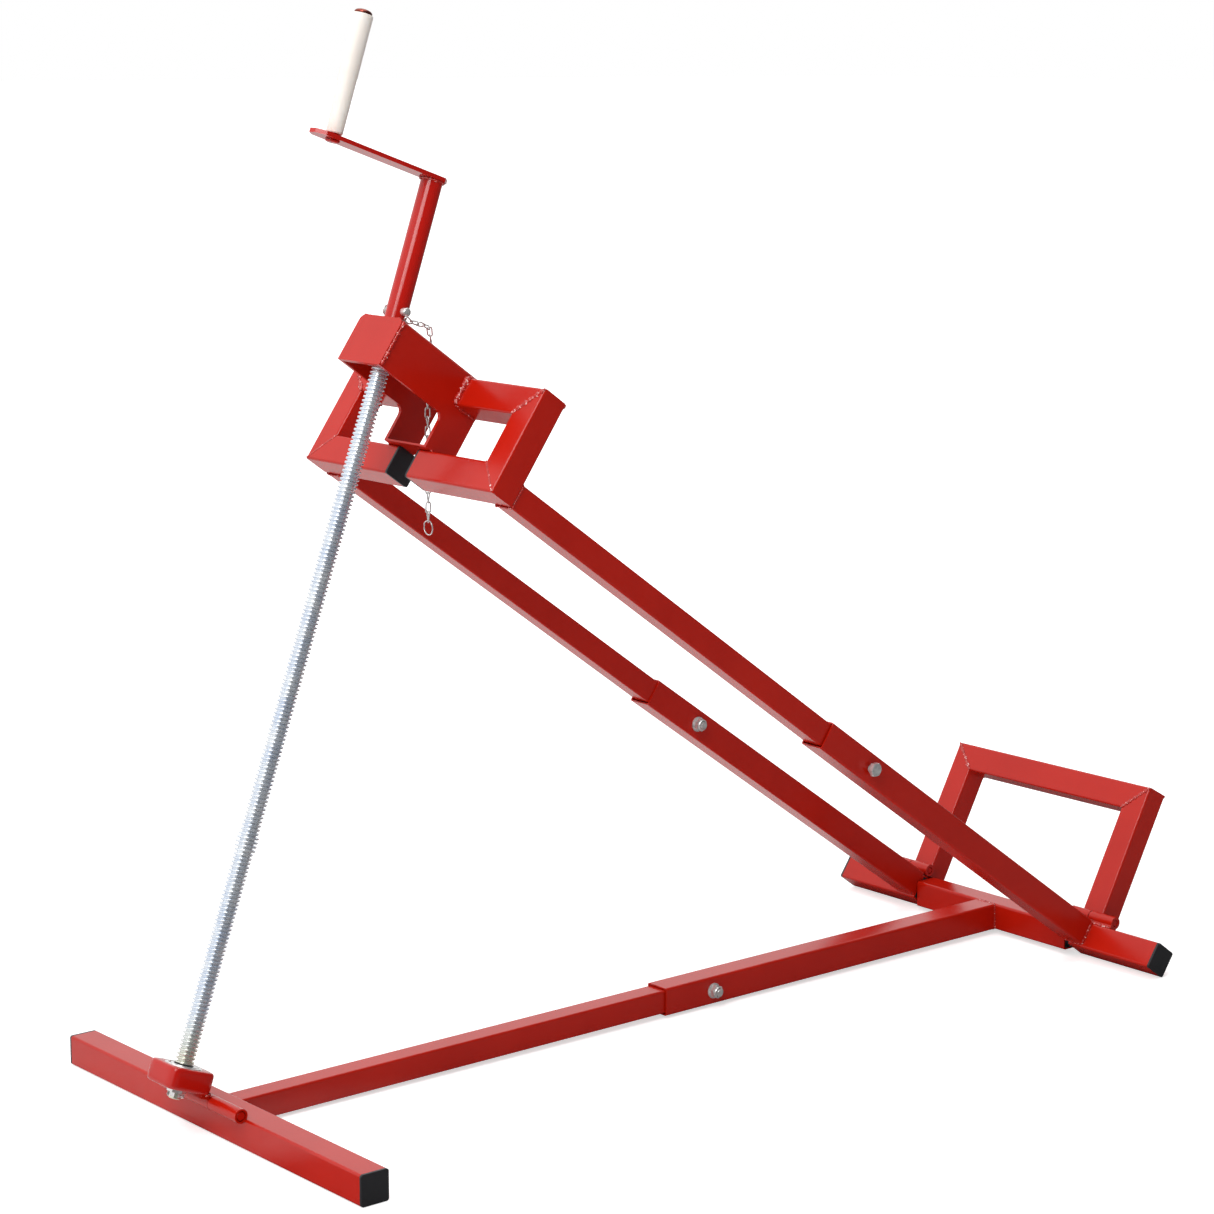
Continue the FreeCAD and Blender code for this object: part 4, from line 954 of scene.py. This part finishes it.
# Run, across and height of the points that the short chain passes over the head.
RISING_PATH = (
    (1062, 0, 102), (1067, -2, 113), (1080, -8, 121), (1096, -13, 116), (1108, -15, 111),
    (1117, -17, 111),
)
rising = chain_part([lift(*point) for point in RISING_PATH], 0.8)
piece = new_piece("pin_chain_detail", *rising, steel, "lift", "bright_steel")
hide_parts("pin_chain")

# ---------------------------------------------------------------- softened edges on CAD pieces

EDGE_WIDTH = {
    "foot_end_caps": 0.5,
    "stub_end_caps": 0.5,
    "frame_end_caps": 0.5,
    "head_front_plate": 0.8,
    "head_bottom_strip": 0.5,
    "head_channel": 0.5,
    "crank_arm": 0.5,
    "crank_tube": 0.5,
    "foot_hinge_barrels": 0.5,
    "block_barrel": 0.5,
    "hoop_fixed_knuckles": 0.5,
    "hoop_knuckles": 0.5,
}
for name, width in EDGE_WIDTH.items():
    bevel = frame["nodes"][name].modifiers.new("edge", "BEVEL")
    bevel.width = width * MM
    bevel.segments = 2
    bevel.limit_method = "ANGLE"
    bevel.angle_limit = math.radians(40)

# ---------------------------------------------------------------- floor

FLOOR_SIDE = 60.0
FLOOR_DROP = 0.0006  # keeps the floor just under the feet
FLOOR_TONE, FLOOR_GLOW = 0.80, 0.60
GLOW_NEAR, GLOW_FAR = 0.8, 2.4
PAINTED_SHADE_TONE = 0.02

floor_mesh = bpy.data.meshes.new("floor")
corners = [(-1, -1), (1, -1), (1, 1), (-1, 1)]
floor_points = [(x * FLOOR_SIDE, y * FLOOR_SIDE, -FLOOR_DROP) for x, y in corners]
floor_mesh.from_pydata(floor_points, [], [(0, 1, 2, 3)])
floor = bpy.data.objects.new("floor", floor_mesh)
bpy.context.scene.collection.objects.link(floor)
floor_paint = new_material("floor_paint", (FLOOR_TONE,) * 3, 0.9, specular=0.0)
floor_shader = shader_of(floor_paint)
floor_shader.inputs["Emission Color"].default_value = (1, 1, 1, 1)
place = node(floor_paint, "ShaderNodeTexCoord")
ray = node(floor_paint, "ShaderNodeLightPath")


def floor_measure(operation, vector):
    """Compare places on the floor with a vector, by one vector operation."""
    measure = node(floor_paint, "ShaderNodeVectorMath")
    measure.operation = operation
    measure.inputs[1].default_value = vector
    link(floor_paint, place, "Object", measure, 0)
    return measure


def floor_effect(measure, kind_of_ray, **limits):
    """An amount that depends on the place, for one kind of ray only."""
    amount = node(floor_paint, "ShaderNodeMapRange", **limits)
    only = node(floor_paint, "ShaderNodeMath")
    only.operation = "MULTIPLY"
    link(floor_paint, measure, "Value", amount, "Value")
    link(floor_paint, amount, "Result", only, 0)
    link(floor_paint, ray, kind_of_ray, only, 1)
    return only


# Away from the object the floor glows a little to the eye, so that it meets the sky unseen.
glow = floor_effect(
    floor_measure("DISTANCE", (0.5, 0, 0)),
    "Is Camera Ray",
    From_Min=GLOW_NEAR,
    From_Max=GLOW_FAR,
    To_Min=FLOOR_GLOW,
    To_Max=1.0,
)
link(floor_paint, glow, "Value", floor_shader, "Emission Strength")
# The floor on the object's right is painted dark for mirrored rays only: painted shade that
# stands in for a studio flag in what the object reflects.
dark = floor_effect(
    floor_measure("DOT_PRODUCT", (0.30, -0.954, 0)),
    "Is Glossy Ray",
    From_Min=0.05,
    From_Max=0.11,
    To_Min=0.0,
    To_Max=0.85,
)
# painted shade: floor tone mixed towards near black where the object mirrors the floor on its
# right
floor_tones = color_mix(floor_paint, (FLOOR_TONE,) * 3, (PAINTED_SHADE_TONE,) * 3)
link(floor_paint, dark, "Value", floor_tones, MIX_FACTOR)
link(floor_paint, floor_tones, MIX_RESULT, floor_shader, "Base Color")
floor_mesh.materials.append(floor_paint)

# ---------------------------------------------------------------- world and lights

# Bright behind and to the left of the object, dim to the right; plain white to the eye.
DIM, BRIGHT = 0.12, 1.0
BRIGHT_SIDE = Vector((-0.50, 0.84, 0.20)).normalized()

world = bpy.data.worlds.new("studio")
bpy.context.scene.world = world
world.use_nodes = True
surround = world.node_tree.nodes["Background"]
surround.inputs["Color"].default_value = (1, 1, 1, 1)
facing = node(world, "ShaderNodeVectorMath")
facing.operation = "DOT_PRODUCT"
facing.inputs[1].default_value = BRIGHT_SIDE
spread = node(
    world, "ShaderNodeMapRange", From_Min=-0.35, From_Max=0.30, To_Min=DIM, To_Max=BRIGHT
)
spread.interpolation_type = "SMOOTHSTEP"
plain = node(world, "ShaderNodeBackground", Color=(1, 1, 1, 1), Strength=1.0)
choose = node(world, "ShaderNodeMixShader")
link(world, node(world, "ShaderNodeTexCoord"), "Generated", facing, 0)
link(world, facing, "Value", spread, "Value")
link(world, spread, "Result", surround, "Strength")
link(world, node(world, "ShaderNodeLightPath"), "Is Camera Ray", choose, 0)
link(world, surround, 0, choose, 1)
link(world, plain, 0, choose, 2)
link(world, choose, 0, world.node_tree.nodes["World Output"], "Surface")

MIDDLE = Vector((0.5, 0, 0.45))


def area_light(name, place, size, energy):
    """A square soft light that points at the middle of the object."""
    data = bpy.data.lights.new(name, "AREA")
    data.shape = "RECTANGLE"
    data.size = size
    data.size_y = size
    data.energy = energy
    light = bpy.data.objects.new(name, data)
    light.location = place
    light.rotation_euler = (MIDDLE - Vector(place)).to_track_quat("-Z", "Y").to_euler()
    bpy.context.scene.collection.objects.link(light)


area_light("key", (-1.2, -0.9, 2.1), 1.3, 27.0)
area_light("top", (0.6, 0.4, 4.2), 3.6, 47.0)

# ---------------------------------------------------------------- camera

# The camera is placed around the foot tube with the base tube level, then tipped with it.
AZIMUTH, ELEVATION, ROLL = math.radians(-39.857), math.radians(10.561), math.radians(0.0368)
FOOT_IN_VIEW = Vector((-0.37532561603, 0.492814893895, 2.908447297447))
SENSOR, LENS = 36.0, 91.8888
SHIFT = 0.00033
BASE_PITCH = math.atan2(PIVOT.z - HALF, PIVOT.x)

camera_data = bpy.data.cameras.new("camera")
camera = bpy.data.objects.new("camera", camera_data)
bpy.context.scene.collection.objects.link(camera)
right = Vector((math.cos(AZIMUTH), math.sin(AZIMUTH), 0))
toward = Vector((math.sin(AZIMUTH), -math.cos(AZIMUTH), 0))
back = toward * math.cos(ELEVATION) + Z * math.sin(ELEVATION)
up = back.cross(right)
rolled_right = right * math.cos(ROLL) + up * math.sin(ROLL)
rolled_up = up * math.cos(ROLL) - right * math.sin(ROLL)
eye = back * FOOT_IN_VIEW.z - rolled_right * FOOT_IN_VIEW.x + rolled_up * FOOT_IN_VIEW.y
tip = Matrix.Rotation(-BASE_PITCH, 3, "Y")
eye = tip @ (eye - Vector((HALF, 0, HALF))) + Z * HALF
camera.matrix_world = frame_matrix(eye, tip @ rolled_right, tip @ rolled_up, tip @ back)
camera_data.sensor_width = SENSOR
camera_data.lens = LENS
camera_data.shift_x = SHIFT
camera_data.shift_y = -SHIFT
camera_data.clip_start = 0.05
camera_data.clip_end = 200
bpy.context.scene.camera = camera
bpy.context.scene.view_settings.view_transform = "Standard"
